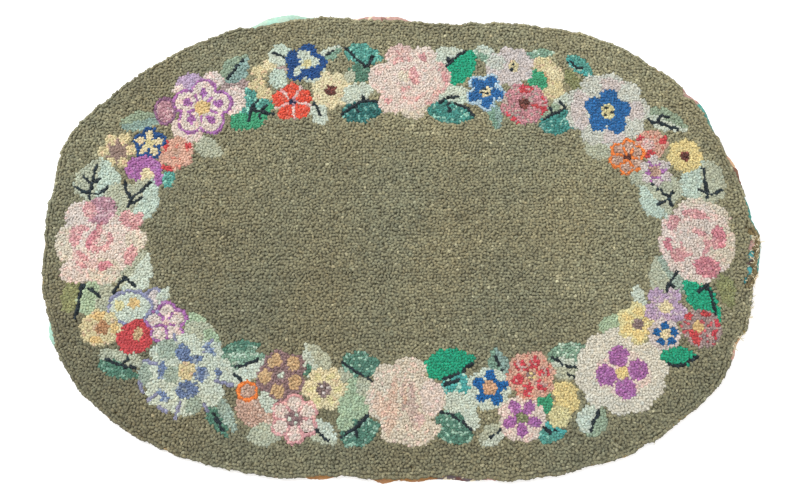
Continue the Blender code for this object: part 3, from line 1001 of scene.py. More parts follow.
@dataclass
class Hooker:
    """Places the loops: edge rows, then the chart's lines, then rows of filling.

    Attributes:
        plan: the rug's outline.
        chart: the pattern.
        rng: the source of small differences.
    """

    plan: RugPlan
    chart: Chart
    rng: np.random.Generator = field(default_factory=lambda: np.random.default_rng(SEED))

    def edge_rows(self) -> list[Array]:
        """Places along the rows that follow the edge."""
        rows = []
        for inset in EDGE_INSETS:
            line = self.plan.inset(inset)
            spots = evenly_along(np.vstack([line, line[:1]]), LOOP_PITCH)[:-1]
            rows.append(spots + self.rng.normal(0.0, 0.5, spots.shape))
        return rows

    def rows_of_filling(self, size: float) -> Array:
        """Places in gently waving rows across the rug, inside the edge rows, for one size of loop."""
        spots = []
        pitch = size * LOOP_PITCH
        reach_x, reach_y = self.plan.half_size
        for i, y in enumerate(np.arange(-reach_y, reach_y, size * ROW_PITCH)):
            x = np.arange(-reach_x, reach_x, pitch) + self.rng.uniform(0.0, pitch)
            sway = 1.5 * waves(x, np.full(x.shape, y), 70.0, 5) + 0.5 * math.sin(0.9 * i)
            spots.append(np.stack([x, y + sway], axis=1))
        found = np.vstack(spots)
        calm = np.where(self.in_rows(found), 0.9, 1.0)[:, None]
        found = found + self.rng.normal(0.0, 1.15 * size, found.shape) * calm
        deep = self.plan.depth(*found.T) > EDGE_INSETS[-1] + 0.75 * ROW_PITCH
        return found[deep]

    def in_rows(self, spots: Array) -> Array:
        """Mask of the spots in the field's right half, which is hooked in plainer rows."""
        return (self.plan.depth(*spots.T) > FIELD_DEPTH) & (spots[:, 0] > 0.0)

    def on_ground(self, spots: Array) -> Array:
        """Mask of the spots on the plain olive ground."""
        return self.chart.yarns_at(*spots.T) == NUMBER_OF[Yarn.OLIVE]

    def holes_filled(self, held: Array, gap: float) -> Array:
        """New places where the nearest held one is further than a gap."""
        reach_x, reach_y = self.plan.half_size
        gx, gy = np.meshgrid(np.arange(-reach_x, reach_x, 2.0), np.arange(-reach_y, reach_y, 2.0))
        tries = np.stack([gx.ravel(), gy.ravel()], axis=1)
        tries = tries[self.plan.depth(*tries.T) > EDGE_INSETS[0] + 2.0]
        off = gaps(tries, held)
        tries, off = tries[off > gap], off[off > gap]
        added: list[Array] = []
        for spot in tries[np.argsort(-off)]:
            if all(np.hypot(*(spot - other)) > gap for other in added):
                added.append(spot)
        return np.array(added).reshape(-1, 2)

    def eased(self, spots: Array, firm: Array, size: Array, rounds: int) -> Array:
        """The spots after neighbours have pushed each other to an even spacing."""
        for _ in range(rounds):
            tree = tree_of(spots)
            push = np.zeros_like(spots)
            for i in np.flatnonzero(~firm):
                x, y = spots[i]
                rest = REST * LOOP_PITCH * size[i]
                for co, j, gap in tree.find_range((x, y, 0.0), rest):
                    if j != i and gap > 1e-6:
                        share = 0.5 * (rest - gap) / gap
                        push[i, 0] += (x - co[0]) * share
                        push[i, 1] += (y - co[1]) * share
            spots = spots + YIELD * push
        return spots

    def headings(self, spots: Array) -> Array:
        """Which way the filling loops run: anyhow, and a little more with the rows in the field."""
        depth = self.plan.depth(*spots.T)
        wild = np.where(depth > FIELD_DEPTH, 0.95, 1.1) * np.where(self.in_rows(spots), 0.9, 1.0)
        lean = np.where(depth < 60.0, 0.5 * waves(*spots.T, 60.0, 11), 0.0)
        return lean + self.rng.normal(0.0, 1.0, len(spots)) * wild

    def work(self) -> Hooking:
        """Hooks the whole rug."""
        lines = [(spots, Yarn.OLIVE, True) for spots in self.edge_rows()]
        for spots, yarn in self.chart.visible_strokes():
            if len(spots):
                lines.append((spots + self.rng.normal(0.0, 0.40, spots.shape), yarn, False))
        firm_spots = np.vstack([spots for spots, _, _ in lines])
        firm_heads = np.concatenate([along_line(spots, closed) for spots, _, closed in lines])
        firm_heads = firm_heads + self.rng.normal(0.0, 0.22, len(firm_heads))
        firm_yarn = np.concatenate([np.full(len(spots), NUMBER_OF[yarn]) for spots, yarn, _ in lines])
        kept = self.without_doubles(firm_spots)
        firm_spots, firm_heads, firm_yarn = firm_spots[kept], firm_heads[kept], firm_yarn[kept]
        wide, tight = self.rows_of_filling(1.0), self.rows_of_filling(TIGHT)
        filling = np.vstack([wide[self.on_ground(wide)], tight[~self.on_ground(tight)]])
        filling = filling[gaps(filling, firm_spots) > CLEAR_OF_STROKE]
        spots = np.vstack([firm_spots, filling])
        spots = np.vstack([spots, self.holes_filled(spots, 0.80 * LOOP_PITCH)])
        firm = np.arange(len(spots)) < len(firm_spots)
        size = np.where(self.on_ground(spots), 1.0, TIGHT)
        spots = self.eased(spots, firm, size, 3)
        heading = np.concatenate([firm_heads, self.headings(spots[~firm])])
        yarn = np.concatenate([firm_yarn, self.chart.yarns_at(*spots[~firm].T)])
        size = np.where(yarn == NUMBER_OF[Yarn.OLIVE], 1.0, TIGHT)
        hooked = Hooking(*spots.T, heading, yarn, size)
        return hooked.chosen(~torn_gap(hooked.x, hooked.y, self.plan))

    @staticmethod
    def without_doubles(spots: Array) -> Array:
        """Mask that drops a place too close to an earlier one."""
        tree = tree_of(spots)
        kept = np.ones(len(spots), bool)
        for i, (x, y) in enumerate(spots):
            for _, j, _ in tree.find_range((x, y, 0.0), NEAREST):
                if j < i and kept[j]:
                    kept[i] = False
                    break
        return kept


def gaps(spots: Array, held: Array) -> Array:
    """Distance from each spot to the nearest held place."""
    tree = tree_of(held)
    return np.array([tree.find((x, y, 0.0))[2] for x, y in spots])


def tree_of(spots: Array) -> KDTree:
    """A balanced search tree of flat places."""
    tree = KDTree(len(spots))
    for i, (x, y) in enumerate(spots):
        tree.insert((x, y, 0.0), i)
    tree.balance()
    return tree


# --- Meshes ---


def mesh_piece(
    name: str, places: Array, faces: Array, material: Material, stands_for: str | None = None
) -> Piece:
    """A mesh object from arrays.

    Args:
        name: the piece's name.
        places: vertices in metres, N by 3.
        faces: vertex numbers of faces that all have the same number of corners, M by 3 or 4.
        material: its material.
        stands_for: the solid that it replaces, or None.

    Returns:
        The object, linked to the scene and riding on the root body.
    """
    corners = faces.shape[1]
    mesh = bpy.data.meshes.new(name)
    mesh.vertices.add(len(places))
    mesh.vertices.foreach_set("co", places.astype(np.float32).ravel())
    mesh.loops.add(faces.size)
    mesh.loops.foreach_set("vertex_index", faces.astype(np.int32).ravel())
    mesh.polygons.add(len(faces))
    mesh.polygons.foreach_set("loop_start", np.arange(0, faces.size, corners, dtype=np.int32))
    mesh.update(calc_edges=True)
    mesh.polygons.foreach_set("use_smooth", np.full(len(faces), True))
    mesh.materials.append(material)
    mesh.validate()
    piece = bpy.data.objects.new(name, mesh)
    bpy.context.scene.collection.objects.link(piece)
    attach(piece, ROOT)
    if stands_for:
        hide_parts(stands_for)
    log.info("%s: %d faces", name, len(faces))
    return piece


def colour_points(piece: Piece, name: str, colours: Array) -> None:
    """Stores a linear colour on each vertex of a piece."""
    layer = piece.data.color_attributes.new(name, "FLOAT_COLOR", "POINT")
    rgba = np.ones((len(colours), 4), np.float32)
    rgba[:, :3] = colours
    layer.data.foreach_set("color", rgba.ravel())


def value_points(piece: Piece, name: str, values: Array) -> None:
    """Stores a number on each vertex of a piece."""
    layer = piece.data.attributes.new(name, "FLOAT", "POINT")
    layer.data.foreach_set("value", values.astype(np.float32))


def uv_corners(piece: Piece, name: str, uv: Array) -> None:
    """Stores a flat place on each face corner of a piece."""
    layer = piece.data.uv_layers.new(name=name)
    layer.uv.foreach_set("vector", uv.astype(np.float32).ravel())


def cell_map(count: int, inner: Array) -> Array:
    """A square map with a cell for each of many like things, from the map of one of them."""
    side = math.ceil(math.sqrt(count))
    cell = np.arange(count)
    origin = np.stack([cell % side, cell // side], axis=1)
    return ((origin[:, None, :] + inner[None]) / side).reshape(-1, 2)


def ring_faces(rows: int, count: int, closed: bool) -> Array:
    """Triangles between rings of vertices in turn, and back to the first ring if closed."""
    i = np.arange(count)
    after = (i + 1) % count
    faces = []
    for k in range(rows if closed else rows - 1):
        low, high = k * count, (k + 1) % rows * count
        faces.append(np.column_stack([low + i, high + i, high + after]))
        faces.append(np.column_stack([low + i, high + after, low + after]))
    return np.vstack(faces)


def outward(places: Array, faces: Array) -> Array:
    """Triangles of a closed body, turned over if they face inwards."""
    a, b, c = (places[faces[:, k]] for k in range(3))
    volume = float(np.einsum("ij,ij->i", a, np.cross(b, c)).sum())
    return faces if volume > 0.0 else faces[:, ::-1]


@dataclass(frozen=True)
class LoopShape:
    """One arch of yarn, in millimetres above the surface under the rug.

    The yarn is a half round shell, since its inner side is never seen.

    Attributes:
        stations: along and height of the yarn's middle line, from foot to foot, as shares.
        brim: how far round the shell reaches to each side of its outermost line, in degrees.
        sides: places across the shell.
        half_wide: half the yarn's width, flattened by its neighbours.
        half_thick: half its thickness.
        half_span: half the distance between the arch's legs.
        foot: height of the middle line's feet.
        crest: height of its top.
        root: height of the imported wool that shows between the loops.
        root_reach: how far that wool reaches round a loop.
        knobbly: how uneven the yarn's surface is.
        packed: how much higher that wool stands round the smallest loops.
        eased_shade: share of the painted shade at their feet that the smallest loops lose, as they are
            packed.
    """

    stations: tuple[tuple[float, float], ...] = (
        (-0.95, 0.0), (-1.0, 0.72), (0.0, 1.0), (1.0, 0.72), (0.95, 0.0)
    )
    brim: float = 96.0
    sides: int = 4
    half_wide: float = 1.80
    half_thick: float = 1.25
    half_span: float = 1.65
    foot: float = 1.9
    crest: float = 7.45
    root: float = 5.0
    root_reach: float = 2.9
    knobbly: float = 0.16
    packed: float = 0.9
    eased_shade: float = 0.55

    def arches(self, hooked: Hooking, rng: np.random.Generator) -> tuple[Array, Array, Array]:
        """Vertices and faces of many loops.

        Args:
            hooked: the loops' places.
            rng: the source of their small differences.

        Returns:
            Vertices in metres, faces, and each vertex's height share from foot to crest, eased on the
            smallest loops, which sets the painted shade towards the feet.
        """
        n, m, k = len(hooked), len(self.stations), self.sides
        along = np.array([s[0] for s in self.stations])
        rise = np.array([s[1] for s in self.stations])
        slim = hooked.size * (1.0 + 0.10 * hooked.tight)
        span = self.half_span * hooked.size * rng.normal(1.0, 0.14, n)
        crest = self.crest + rng.normal(0.0, 0.33, n) + 0.2 * waves(hooked.x, hooked.y, 40.0, 21)
        lean = rng.normal(0.0, 0.45, n)
        skew = rng.normal(0.0, 0.35, n)
        width = self.half_wide * slim * rng.normal(1.0, 0.14, n)
        thick = self.half_thick * rng.normal(1.0, 0.07, n)
        u = span[:, None] * along[None, :] + skew[:, None] * rise[None, :]
        z = self.foot + (crest - self.foot)[:, None] * rise[None, :]
        v = lean[:, None] * rise[None, :] ** 2
        du = np.gradient(u, axis=1)
        dz = np.gradient(z, axis=1)
        size = np.hypot(du, dz)
        nu, nz = -dz / size, du / size
        turn = np.radians(np.linspace(-self.brim, self.brim, k)) + rng.normal(0.0, 0.12, n)[:, None]
        out = np.cos(turn) * thick[:, None]
        side = np.sin(turn) * width[:, None]
        spread = 1.12 - 0.16 * rise
        pu = u[:, :, None] + nu[:, :, None] * out[:, None, :]
        pz = z[:, :, None] + nz[:, :, None] * out[:, None, :]
        pv = v[:, :, None] + side[:, None, :] * spread[None, :, None]
        c, s = np.cos(hooked.heading)[:, None, None], np.sin(hooked.heading)[:, None, None]
        x = hooked.x[:, None, None] + pu * c - pv * s
        y = hooked.y[:, None, None] + pu * s + pv * c
        shell = np.stack([x, y, pz], axis=-1).reshape(n, m * k, 3)
        shell = shell + rng.normal(0.0, self.knobbly, shell.shape)
        places = np.concatenate([shell, self.roots(hooked, rng)], axis=1)
        # Painted shade: the lower a vertex, the darker its wool, also on the wool between the loops; less so
        # on the smallest loops.
        rise_of = (places[:, :, 2] - self.foot) / (self.crest + self.half_thick - self.foot)
        foot_shade = np.clip(rise_of, 0.0, 1.0)
        foot_shade = 1.0 - (1.0 - foot_shade) * (1.0 - self.eased_shade * hooked.tight)[:, None]
        faces = self.quads(m, k)[None, :, :] + (m * k + 4) * np.arange(n)[:, None, None]
        return places.reshape(-1, 3) * MM, faces.reshape(-1, 4), foot_shade.reshape(-1)

    def roots(self, hooked: Hooking, rng: np.random.Generator) -> Array:
        """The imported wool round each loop's legs, as a tilted square."""
        n = len(hooked)
        turn = hooked.heading[:, None] + 0.25 * math.pi * np.array([1.0, 3.0, 5.0, 7.0])[None, :]
        reach = self.root_reach * math.sqrt(2.0)
        x = hooked.x[:, None] + reach * np.cos(turn)
        y = hooked.y[:, None] + reach * np.sin(turn)
        z = self.root + self.packed * hooked.tight[:, None] + rng.normal(0.0, 0.35, (n, 4))
        return np.stack([x, y, z], axis=-1)

    @staticmethod
    def quads(m: int, k: int) -> Array:
        """Faces of one open strip of m rows with k places each, and of the square after it."""
        found = []
        for i in range(m - 1):
            for j in range(k - 1):
                a = i * k + j
                found.append((a, a + k, a + k + 1, a + 1))
        found.append((m * k, m * k + 1, m * k + 2, m * k + 3))
        return np.array(found)

    def corner_maps(self, count: int) -> tuple[Array, Array]:
        """Two maps for the loops' face corners.

        Args:
            count: how many loops there are.

        Returns:
            The yarn's own run, u along it and v across it, and a map with a cell for each loop.
        """
        m, k = len(self.stations), self.sides
        run = []
        for i in range(m - 1):
            for j in range(k - 1):
                u0, u1, v0, v1 = i / (m - 1), (i + 1) / (m - 1), j / (k - 1), (j + 1) / (k - 1)
                run += [(u0, v0), (u1, v0), (u1, v1), (u0, v1)]
        run += [(1.02, 0.0), (1.08, 0.0), (1.08, 0.06), (1.02, 0.06)]
        one = np.array(run)
        return np.tile(one, (count, 1)), cell_map(count, 0.06 + 0.80 * one)


# --- Materials ---



def feed(into: Socket, value: object) -> None:
    """Links an output to an input, or sets the input to a value."""
    if isinstance(value, Socket):
        into.id_data.links.new(value, into)
    else:
        into.default_value = value


def settle(node: Node, **values: object) -> None:
    """Feeds a node's inputs; an input's name has _ in place of each space."""
    for name, value in values.items():
        feed(node.inputs[name.replace("_", " ")], value)


@dataclass(frozen=True)
class Nodes:
    """Short calls for building one node tree."""

    tree: Tree

    def add(self, kind: str, **settings: object) -> Node:
        """A new node with its settings; one that isn't the node's own goes to the input of that name."""
        node = self.tree.nodes.new(kind)
        for name, value in settings.items():
            if hasattr(node, name):
                setattr(node, name, value)
            else:
                settle(node, **{name: value})
        return node

    def place(self) -> Socket:
        """Where a point is on the object."""
        return self.add("ShaderNodeTexCoord").outputs["Object"]

    def stored(self, name: str, output: str) -> Socket:
        """What the mesh stores under a name."""
        return self.add("ShaderNodeAttribute", attribute_name=name).outputs[output]

    def sums(self, operation: str, a: object, b: object = 0.0) -> Socket:
        """A Math node on two sockets or numbers."""
        node = self.add("ShaderNodeMath", operation=operation)
        for socket, value in zip(node.inputs, (a, b)):
            feed(socket, value)
        return node.outputs[0]

    def mixed(self, share: object, a: object, b: object, blend: str = "MIX") -> Socket:
        """A colour Mix node; share, a and b are sockets, a number or colours."""
        node = self.add("ShaderNodeMix", data_type="RGBA", blend_type=blend)
        for at, value in ((0, share), (6, a), (7, b)):
            feed(node.inputs[at], (*value, 1.0) if isinstance(value, Array) else value)
        return node.outputs[2]

    def noise(self, where: Socket, scale: float, detail: float = 2.0) -> Socket:
        """A noise texture's value."""
        return self.add("ShaderNodeTexNoise", Vector=where, Scale=scale, Detail=detail).outputs["Fac"]

    def ramp(self, value: Socket, low: float, high: float, to: tuple[float, float] = (0.0, 1.0)) -> Socket:
        """A clamped Map Range."""
        ends = {"From_Min": low, "From_Max": high, "To_Min": to[0], "To_Max": to[1]}
        return self.add("ShaderNodeMapRange", Value=value, **ends).outputs["Result"]

    def shaded(self, colour: Socket, bright: Socket) -> Socket:
        """A colour times a brightness."""
        grey = self.add("ShaderNodeCombineColor", Red=bright, Green=bright, Blue=bright)
        return self.mixed(1.0, colour, grey.outputs[0], "MULTIPLY")

    def bump(self, height: Socket, strength: float, distance: float) -> Socket:
        """A Bump node's normal."""
        return self.add("ShaderNodeBump", Height=height, Strength=strength, Distance=distance).outputs[0]

    def shared(self, tree: Tree, **values: object) -> Node:
        """A shared node group with its values."""
        return self.add("ShaderNodeGroup", node_tree=tree, **values)


def new_group(name: str, takes: dict[str, str], gives: dict[str, str]) -> Tree:
    """An empty shader node group with named sockets.

    Args:
        name: the group's name.
        takes: the kind of each input, by name.
        gives: the kind of each output, by name.
    """
    tree = bpy.data.node_groups.new(name, "ShaderNodeTree")
    for side, sockets in (("INPUT", takes), ("OUTPUT", gives)):
        for label, kind in sockets.items():
            tree.interface.new_socket(name=label, in_out=side, socket_type="NodeSocket" + kind)
    return tree


def new_material(name: str) -> tuple[Material, Nodes, Node]:
    """A material, the calls for its nodes, and its Principled BSDF."""
    made = bpy.data.materials.new(name)
    made.use_nodes = True
    return made, Nodes(made.node_tree), made.node_tree.nodes["Principled BSDF"]


class Effects:
    """The node groups that several finishes share."""

    def __init__(self) -> None:
        """Builds each group once."""
        self.wool = self.heathered_wool()
        self.cloth = self.plain_weave()

    @staticmethod
    def heathered_wool() -> Tree:
        """Fine colour differences along yarn, painted shade towards the loops' feet, and the height of its
        fibres and ply.
        """
        takes = {"Dye": "Color", "Depth": "Float", "Run": "Vector"}
        tree = new_group("heathered_wool", takes, {"Color": "Color", "Roughness": "Float", "Height": "Float"})
        n = Nodes(tree)
        given = n.add("NodeGroupInput").outputs
        place = n.place()
        soft = n.noise(place, 560.0, 3.0)
        fine = n.noise(place, 2600.0)
        wander = n.noise(place, 28.0, 3.0)
        bright = n.ramp(soft, 0.32, 0.68, (0.66, 1.32))
        for value, low, high, to in (
            (fine, 0.3, 0.7, (0.82, 1.16)),
            (wander, 0.3, 0.7, (0.95, 1.05)),
            # Painted shade: darker towards the loops' feet and the wool between them.
            (given["Depth"], 0.15, 0.95, (0.62, 1.0)),
        ):
            bright = n.sums("MULTIPLY", bright, n.ramp(value, low, high, to))
        run = n.add("ShaderNodeSeparateXYZ", Vector=given["Run"]).outputs
        ply = n.sums("ADD", n.sums("MULTIPLY", run[0], 5.0), n.sums("MULTIPLY", run[1], 2.0))
        twist = n.sums("ABSOLUTE", n.sums("SINE", n.sums("MULTIPLY", ply, math.pi)))
        n.add(
            "NodeGroupOutput",
            Color=n.shaded(given["Dye"], bright),
            Roughness=n.ramp(fine, 0.3, 0.7, (0.88, 1.0)),
            Height=n.sums("ADD", n.sums("MULTIPLY", twist, 0.55), n.sums("MULTIPLY", fine, 0.45)),
        )
        return tree

    @staticmethod
    def plain_weave() -> Tree:
        """Over-and-under threads on flat cloth: a mask of thread crowns and their height."""
        takes = {"Threads per metre": "Float", "Unevenness": "Float"}
        tree = new_group("plain_weave", takes, {"Crown": "Float", "Height": "Float"})
        n = Nodes(tree)
        given = n.add("NodeGroupInput").outputs
        place = n.place()
        split = n.add("ShaderNodeSeparateXYZ", Vector=place).outputs
        sway = n.sums("MULTIPLY", n.noise(place, 60.0), given["Unevenness"])
        threads = []
        for axis in (0, 1):
            count = n.sums("MULTIPLY", split[axis], given["Threads per metre"])
            phase = n.sums("MULTIPLY", n.sums("ADD", count, sway), math.pi)
            threads.append(n.sums("ABSOLUTE", n.sums("SINE", phase)))
        top = n.sums("MAXIMUM", *threads)
        both = n.sums("MULTIPLY", *threads)
        height = n.sums("ADD", n.sums("MULTIPLY", top, 0.5), n.sums("MULTIPLY", both, 0.5))
        n.add("NodeGroupOutput", Crown=both, Height=height)
        return tree


@dataclass(frozen=True)
class WoolFinish:
    """Hooked wool yarn.

    Attributes:
        sheen: strength of the soft light along its fibres.
        bump: depth of ply and fibres, in metres.
    """

    sheen: float = 0.25
    bump: float = 0.0005

    def material(self, effects: Effects, name: str) -> Material:
        """The wool's material, which reads each loop's dye and depth, the height share that sets painted
        shade towards the loops' feet.
        """
        made, n, shader = new_material(name)
        # The depth attribute darkens the wool towards the loops' feet as painted shade.
        dye, depth = n.stored("dye", "Color"), n.stored("depth", "Fac")
        run = n.add("ShaderNodeUVMap", uv_map="yarn_run").outputs["UV"]
        wool = n.shared(effects.wool, Dye=dye, Depth=depth, Run=run).outputs
        settle(shader, Base_Color=wool["Color"], Roughness=wool["Roughness"])
        settle(shader, Normal=n.bump(wool["Height"], 0.6, self.bump))
        settle(shader, Sheen_Weight=self.sheen, Sheen_Roughness=0.5, Specular_IOR_Level=0.25)
        return made


@dataclass(frozen=True)
class BurlapFinish:
    """The rug's ground cloth and the fold at its edge."""

    thread: str = "#c9b184"
    # gap: darker colour between the threads, painted shade in the weave's hollows.
    gap: str = "#7d6a48"
    aged: str = "#a79a66"
    threads_per_metre: float = 480.0

    def material(self, effects: Effects, name: str) -> Material:
        """Coarse tan cloth, more olive where the yarn's dye has rubbed off on it, with painted shade between
        its threads.
        """
        made, n, shader = new_material(name)
        weave = n.shared(effects.cloth, Threads_per_metre=self.threads_per_metre, Unevenness=0.9).outputs
        rubbed = n.ramp(n.noise(n.place(), 22.0, 4.0), 0.42, 0.6)
        thread = n.mixed(rubbed, linear(self.thread), linear(self.aged))
        # Painted shade: the gap colour darkens the hollows between the thread crowns.
        base = n.mixed(weave["Crown"], linear(self.gap), thread)
        settle(shader, Base_Color=base, Normal=n.bump(weave["Height"], 0.8, 0.0008))
        settle(shader, Roughness=0.95, Specular_IOR_Level=0.2)
        return made


@dataclass(frozen=True)
class PrintFinish:
    """Faded printed cotton: plain blotches of colour on a pale ground."""

    pink: str = "#d3a196"
    brown: str = "#7a5248"
    cream: str = "#e6d9b8"

    def material(self, effects: Effects, name: str) -> Material:
        """Cotton whose blotches change round the rug, with its fine weave."""
        made, n, shader = new_material(name)
        place, ground, strength = n.place(), n.stored("print_zone", "Color"), n.stored("print_figure", "Fac")
        blotch = n.ramp(n.noise(place, 48.0, 3.0), 0.5, 0.53)
        spot = n.ramp(n.noise(place, 120.0), 0.60, 0.63)
        either = n.ramp(n.noise(place, 15.0, 1.0), 0.47, 0.5)
        figure = n.mixed(either, linear(self.pink), linear(self.brown))
        base = n.mixed(n.sums("MULTIPLY", blotch, strength), ground, figure)
        base = n.mixed(n.sums("MULTIPLY", spot, strength), base, linear(self.cream))
        worn = n.ramp(n.noise(place, 260.0, 3.0), 0.3, 0.75, (0.86, 1.08))
        weave = n.shared(effects.cloth, Threads_per_metre=2200.0, Unevenness=1.5).outputs
        settle(shader, Base_Color=n.shaded(base, worn), Normal=n.bump(weave["Height"], 0.35, 0.0003))
        settle(shader, Roughness=0.85, Specular_IOR_Level=0.3)
        return made


@dataclass(frozen=True)
class ThreadFinish:
    """Bare jute and sewing thread."""

    shade: str = "#e4d9b8"

    def material(self, name: str) -> Material:
        """Dry, pale, slightly uneven thread."""
        made, n, shader = new_material(name)
        tone = n.ramp(n.noise(n.place(), 500.0, 3.0), 0.3, 0.7)
        shade = linear(self.shade)
        settle(shader, Base_Color=n.mixed(tone, 0.7 * shade, shade), Roughness=0.9)
        return made


# --- Sub-assemblies ---


@dataclass
class Pile:
    """All the loops on the rug's face, in a few joined pieces.

    Attributes:
        plan: the rug's outline.
        hooked: where the loops are.
        shape: the form of one loop.
        tone: how much brightness differs along the yarn, as a multiple of the dye's mottle.
        inner: half the length and width of the oval inside the wreath, in millimetres.
    """

    plan: RugPlan
    hooked: Hooking
    shape: LoopShape = field(default_factory=LoopShape)
    tone: float = 1.7
    inner: tuple[float, float] = (322.0, 150.0)

    def ground_shade(self) -> Array:
        """Brightness of the olive ground at each loop: bands of dye lots, paler far and darker near."""
        x, y = self.hooked.x, self.hooked.y
        bands = 0.06 * waves(0.10 * x, y, 16.0, 31) + 0.07 * waves(x, y, 110.0, 32)
        slope = 0.10 * np.clip(x / 250.0, -1.0, 1.0) + 0.09 * np.clip(y / 160.0, -1.2, 1.0)
        return 1.0 + bands + slope

    def dyes(self, rng: np.random.Generator) -> Array:
        """Each loop's linear colour."""
        base = np.array([linear(yarn.value.shade) for yarn in YARNS])
        fleck = np.array([linear(yarn.value.fleck or yarn.value.shade) for yarn in YARNS])
        flecked = np.array([yarn.value.flecked for yarn in YARNS])
        x, y, number = self.hooked.x, self.hooked.y, self.hooked.yarn
        drawn = rng.random(len(number)) < flecked[number]
        colours = np.where(drawn[:, None], fleck[number], base[number])
        olive = number == NUMBER_OF[Yarn.OLIVE]
        warmth = 0.033 * waves(x, y, 90.0, 41) + rng.normal(0.0, 0.02, len(number))
        bright = 1.0 + (rng.normal(1.0, 1.0, len(number)) - 1.0) * MOTTLE[number]
        bright = np.where(olive, bright * self.ground_shade(), bright)
        colours = colours * np.clip(bright, 0.45, 1.6)[:, None]
        tint = np.stack([1.0 + warmth, np.ones_like(warmth), 1.0 - warmth], axis=1)
        bearing, depth = np.degrees(np.arctan2(y, x)), self.plan.depth(x, y)
        rusty = olive & (np.abs(bearing + 4.0) < 5.0) & (depth < 7.0)
        return colours * tint * np.where(rusty[:, None], np.array([[0.82, 0.70, 0.58]]), 1.0)

    def zones(self) -> dict[str, Array]:
        """Masks of the loops that go into each named piece."""
        number = self.hooked.yarn
        ground = np.isin(number, [NUMBER_OF[y] for y in (Yarn.OLIVE, Yarn.DARK_OLIVE, Yarn.GREEN_OLIVE)])
        long, wide = self.inner
        inner = (self.hooked.x / long) ** 2 + (self.hooked.y / wide) ** 2 < 1.0
        east = self.hooked.x > 0.0
        parts = {"field": ground & inner, "border": ground & ~inner, "wreath": ~ground}
        sides = {"left": ~east, "right": east}
        return {f"{part}_loops_{side}": a & b for part, a in parts.items() for side, b in sides.items()}

    def build(self, material: Material) -> list[Piece]:
        """Makes the pieces of pile."""
        rng = np.random.default_rng(SEED + 1)
        colours = self.dyes(rng)
        rings = len(self.shape.stations) * self.shape.sides + 4
        made = []
        for name, mask in self.zones().items():
            loops = self.hooked.chosen(mask)
            places, faces, foot_shade = self.shape.arches(loops, rng)
            piece = mesh_piece(name, places, faces, material, "hooked_rug")
            mottle = np.repeat(MOTTLE[loops.yarn], rings)[:, None]
            tone = 1.0 + rng.normal(0.0, self.tone, (len(places), 1)) * mottle
            colour_points(piece, "dye", np.repeat(colours[mask], rings, axis=0) * tone.clip(0.5, 1.6))
            # Painted shade: each vertex's height share, which darkens the wool towards the loops' feet.
            value_points(piece, "depth", foot_shade)
            run, cells = self.shape.corner_maps(len(loops))
            uv_corners(piece, "yarn_run", run)
            uv_corners(piece, "OFBake", cells)
            made.append(piece)
        return made


@dataclass
class Ground:
    """The burlap under the loops, with its folded edge.

    Attributes:
        plan: the rug's outline.
        under, over: heights of its two faces, in millimetres.
        fold: how far the edge's fold reaches in.
        fold_top: height of the fold's top.
        lip: how far the fold stands out past the solid's edge.
    """

    plan: RugPlan
    under: float = 1.35
    over: float = 2.25
    fold: float = 5.0
    fold_top: float = 5.2
    lip: float = 0.6

    def section(self) -> list[tuple[float, float]]:
        """Inset and height of each line, from under the middle round the edge to the middle on top."""
        return [
            (200.0, self.under), (60.0, self.under), (12.0, self.under), (3.0, self.under),
            (0.6, self.under + 0.5), (-self.lip, 0.5 * (self.under + self.fold_top)),
            (-0.2, self.fold_top - 0.6), (1.2, self.fold_top), (3.0, self.fold_top - 0.8),
            (self.fold, self.over), (12.0, self.over), (60.0, self.over), (200.0, self.over),
        ]

    def build(self, material: Material) -> Piece:
        """Makes the burlap as one closed sheet."""
        count = 540
        rng = np.random.default_rng(SEED + 2)
        puckers = 0.35 * rng.normal(0.0, 1.0, count)
        puckers = (puckers + np.roll(puckers, 1) + np.roll(puckers, -1)) / 2.0
        rings = []
        for inset, height in self.section():
            if inset > 30.0:
                line = self.plan.inset(12.0, count)
                line = line * (1.0 - (inset - 12.0) / 240.0)
            else:
                line = self.plan.inset(inset, count)
            lift = puckers * (1.0 if -1.0 < inset < 4.0 and height > 2.0 else 0.0)
            rings.append(np.column_stack([line, height + lift]))
        places = np.vstack(rings)
        tips = np.array([(0.0, 0.0, self.under), (0.0, 0.0, self.over)])
        places = np.vstack([places, tips]) * MM
        i = np.arange(count)
        after = (i + 1) % count
        tip, last = len(rings) * count, (len(rings) - 1) * count
        fans = [
            np.column_stack([np.full(count, tip), i, after]),
            np.column_stack([np.full(count, tip + 1), last + after, last + i]),
        ]
        faces = np.vstack([ring_faces(len(rings), count, closed=False), *fans])
        faces = outward(places, faces)
        return mesh_piece("burlap_ground", places, faces, material, "hooked_rug")

    def area(self) -> float:
        """Its flat area in square metres."""
        x, y = self.plan.ring.T * MM
        return 0.5 * abs(float(np.dot(x, np.roll(y, -1)) - np.dot(y, np.roll(x, -1))))


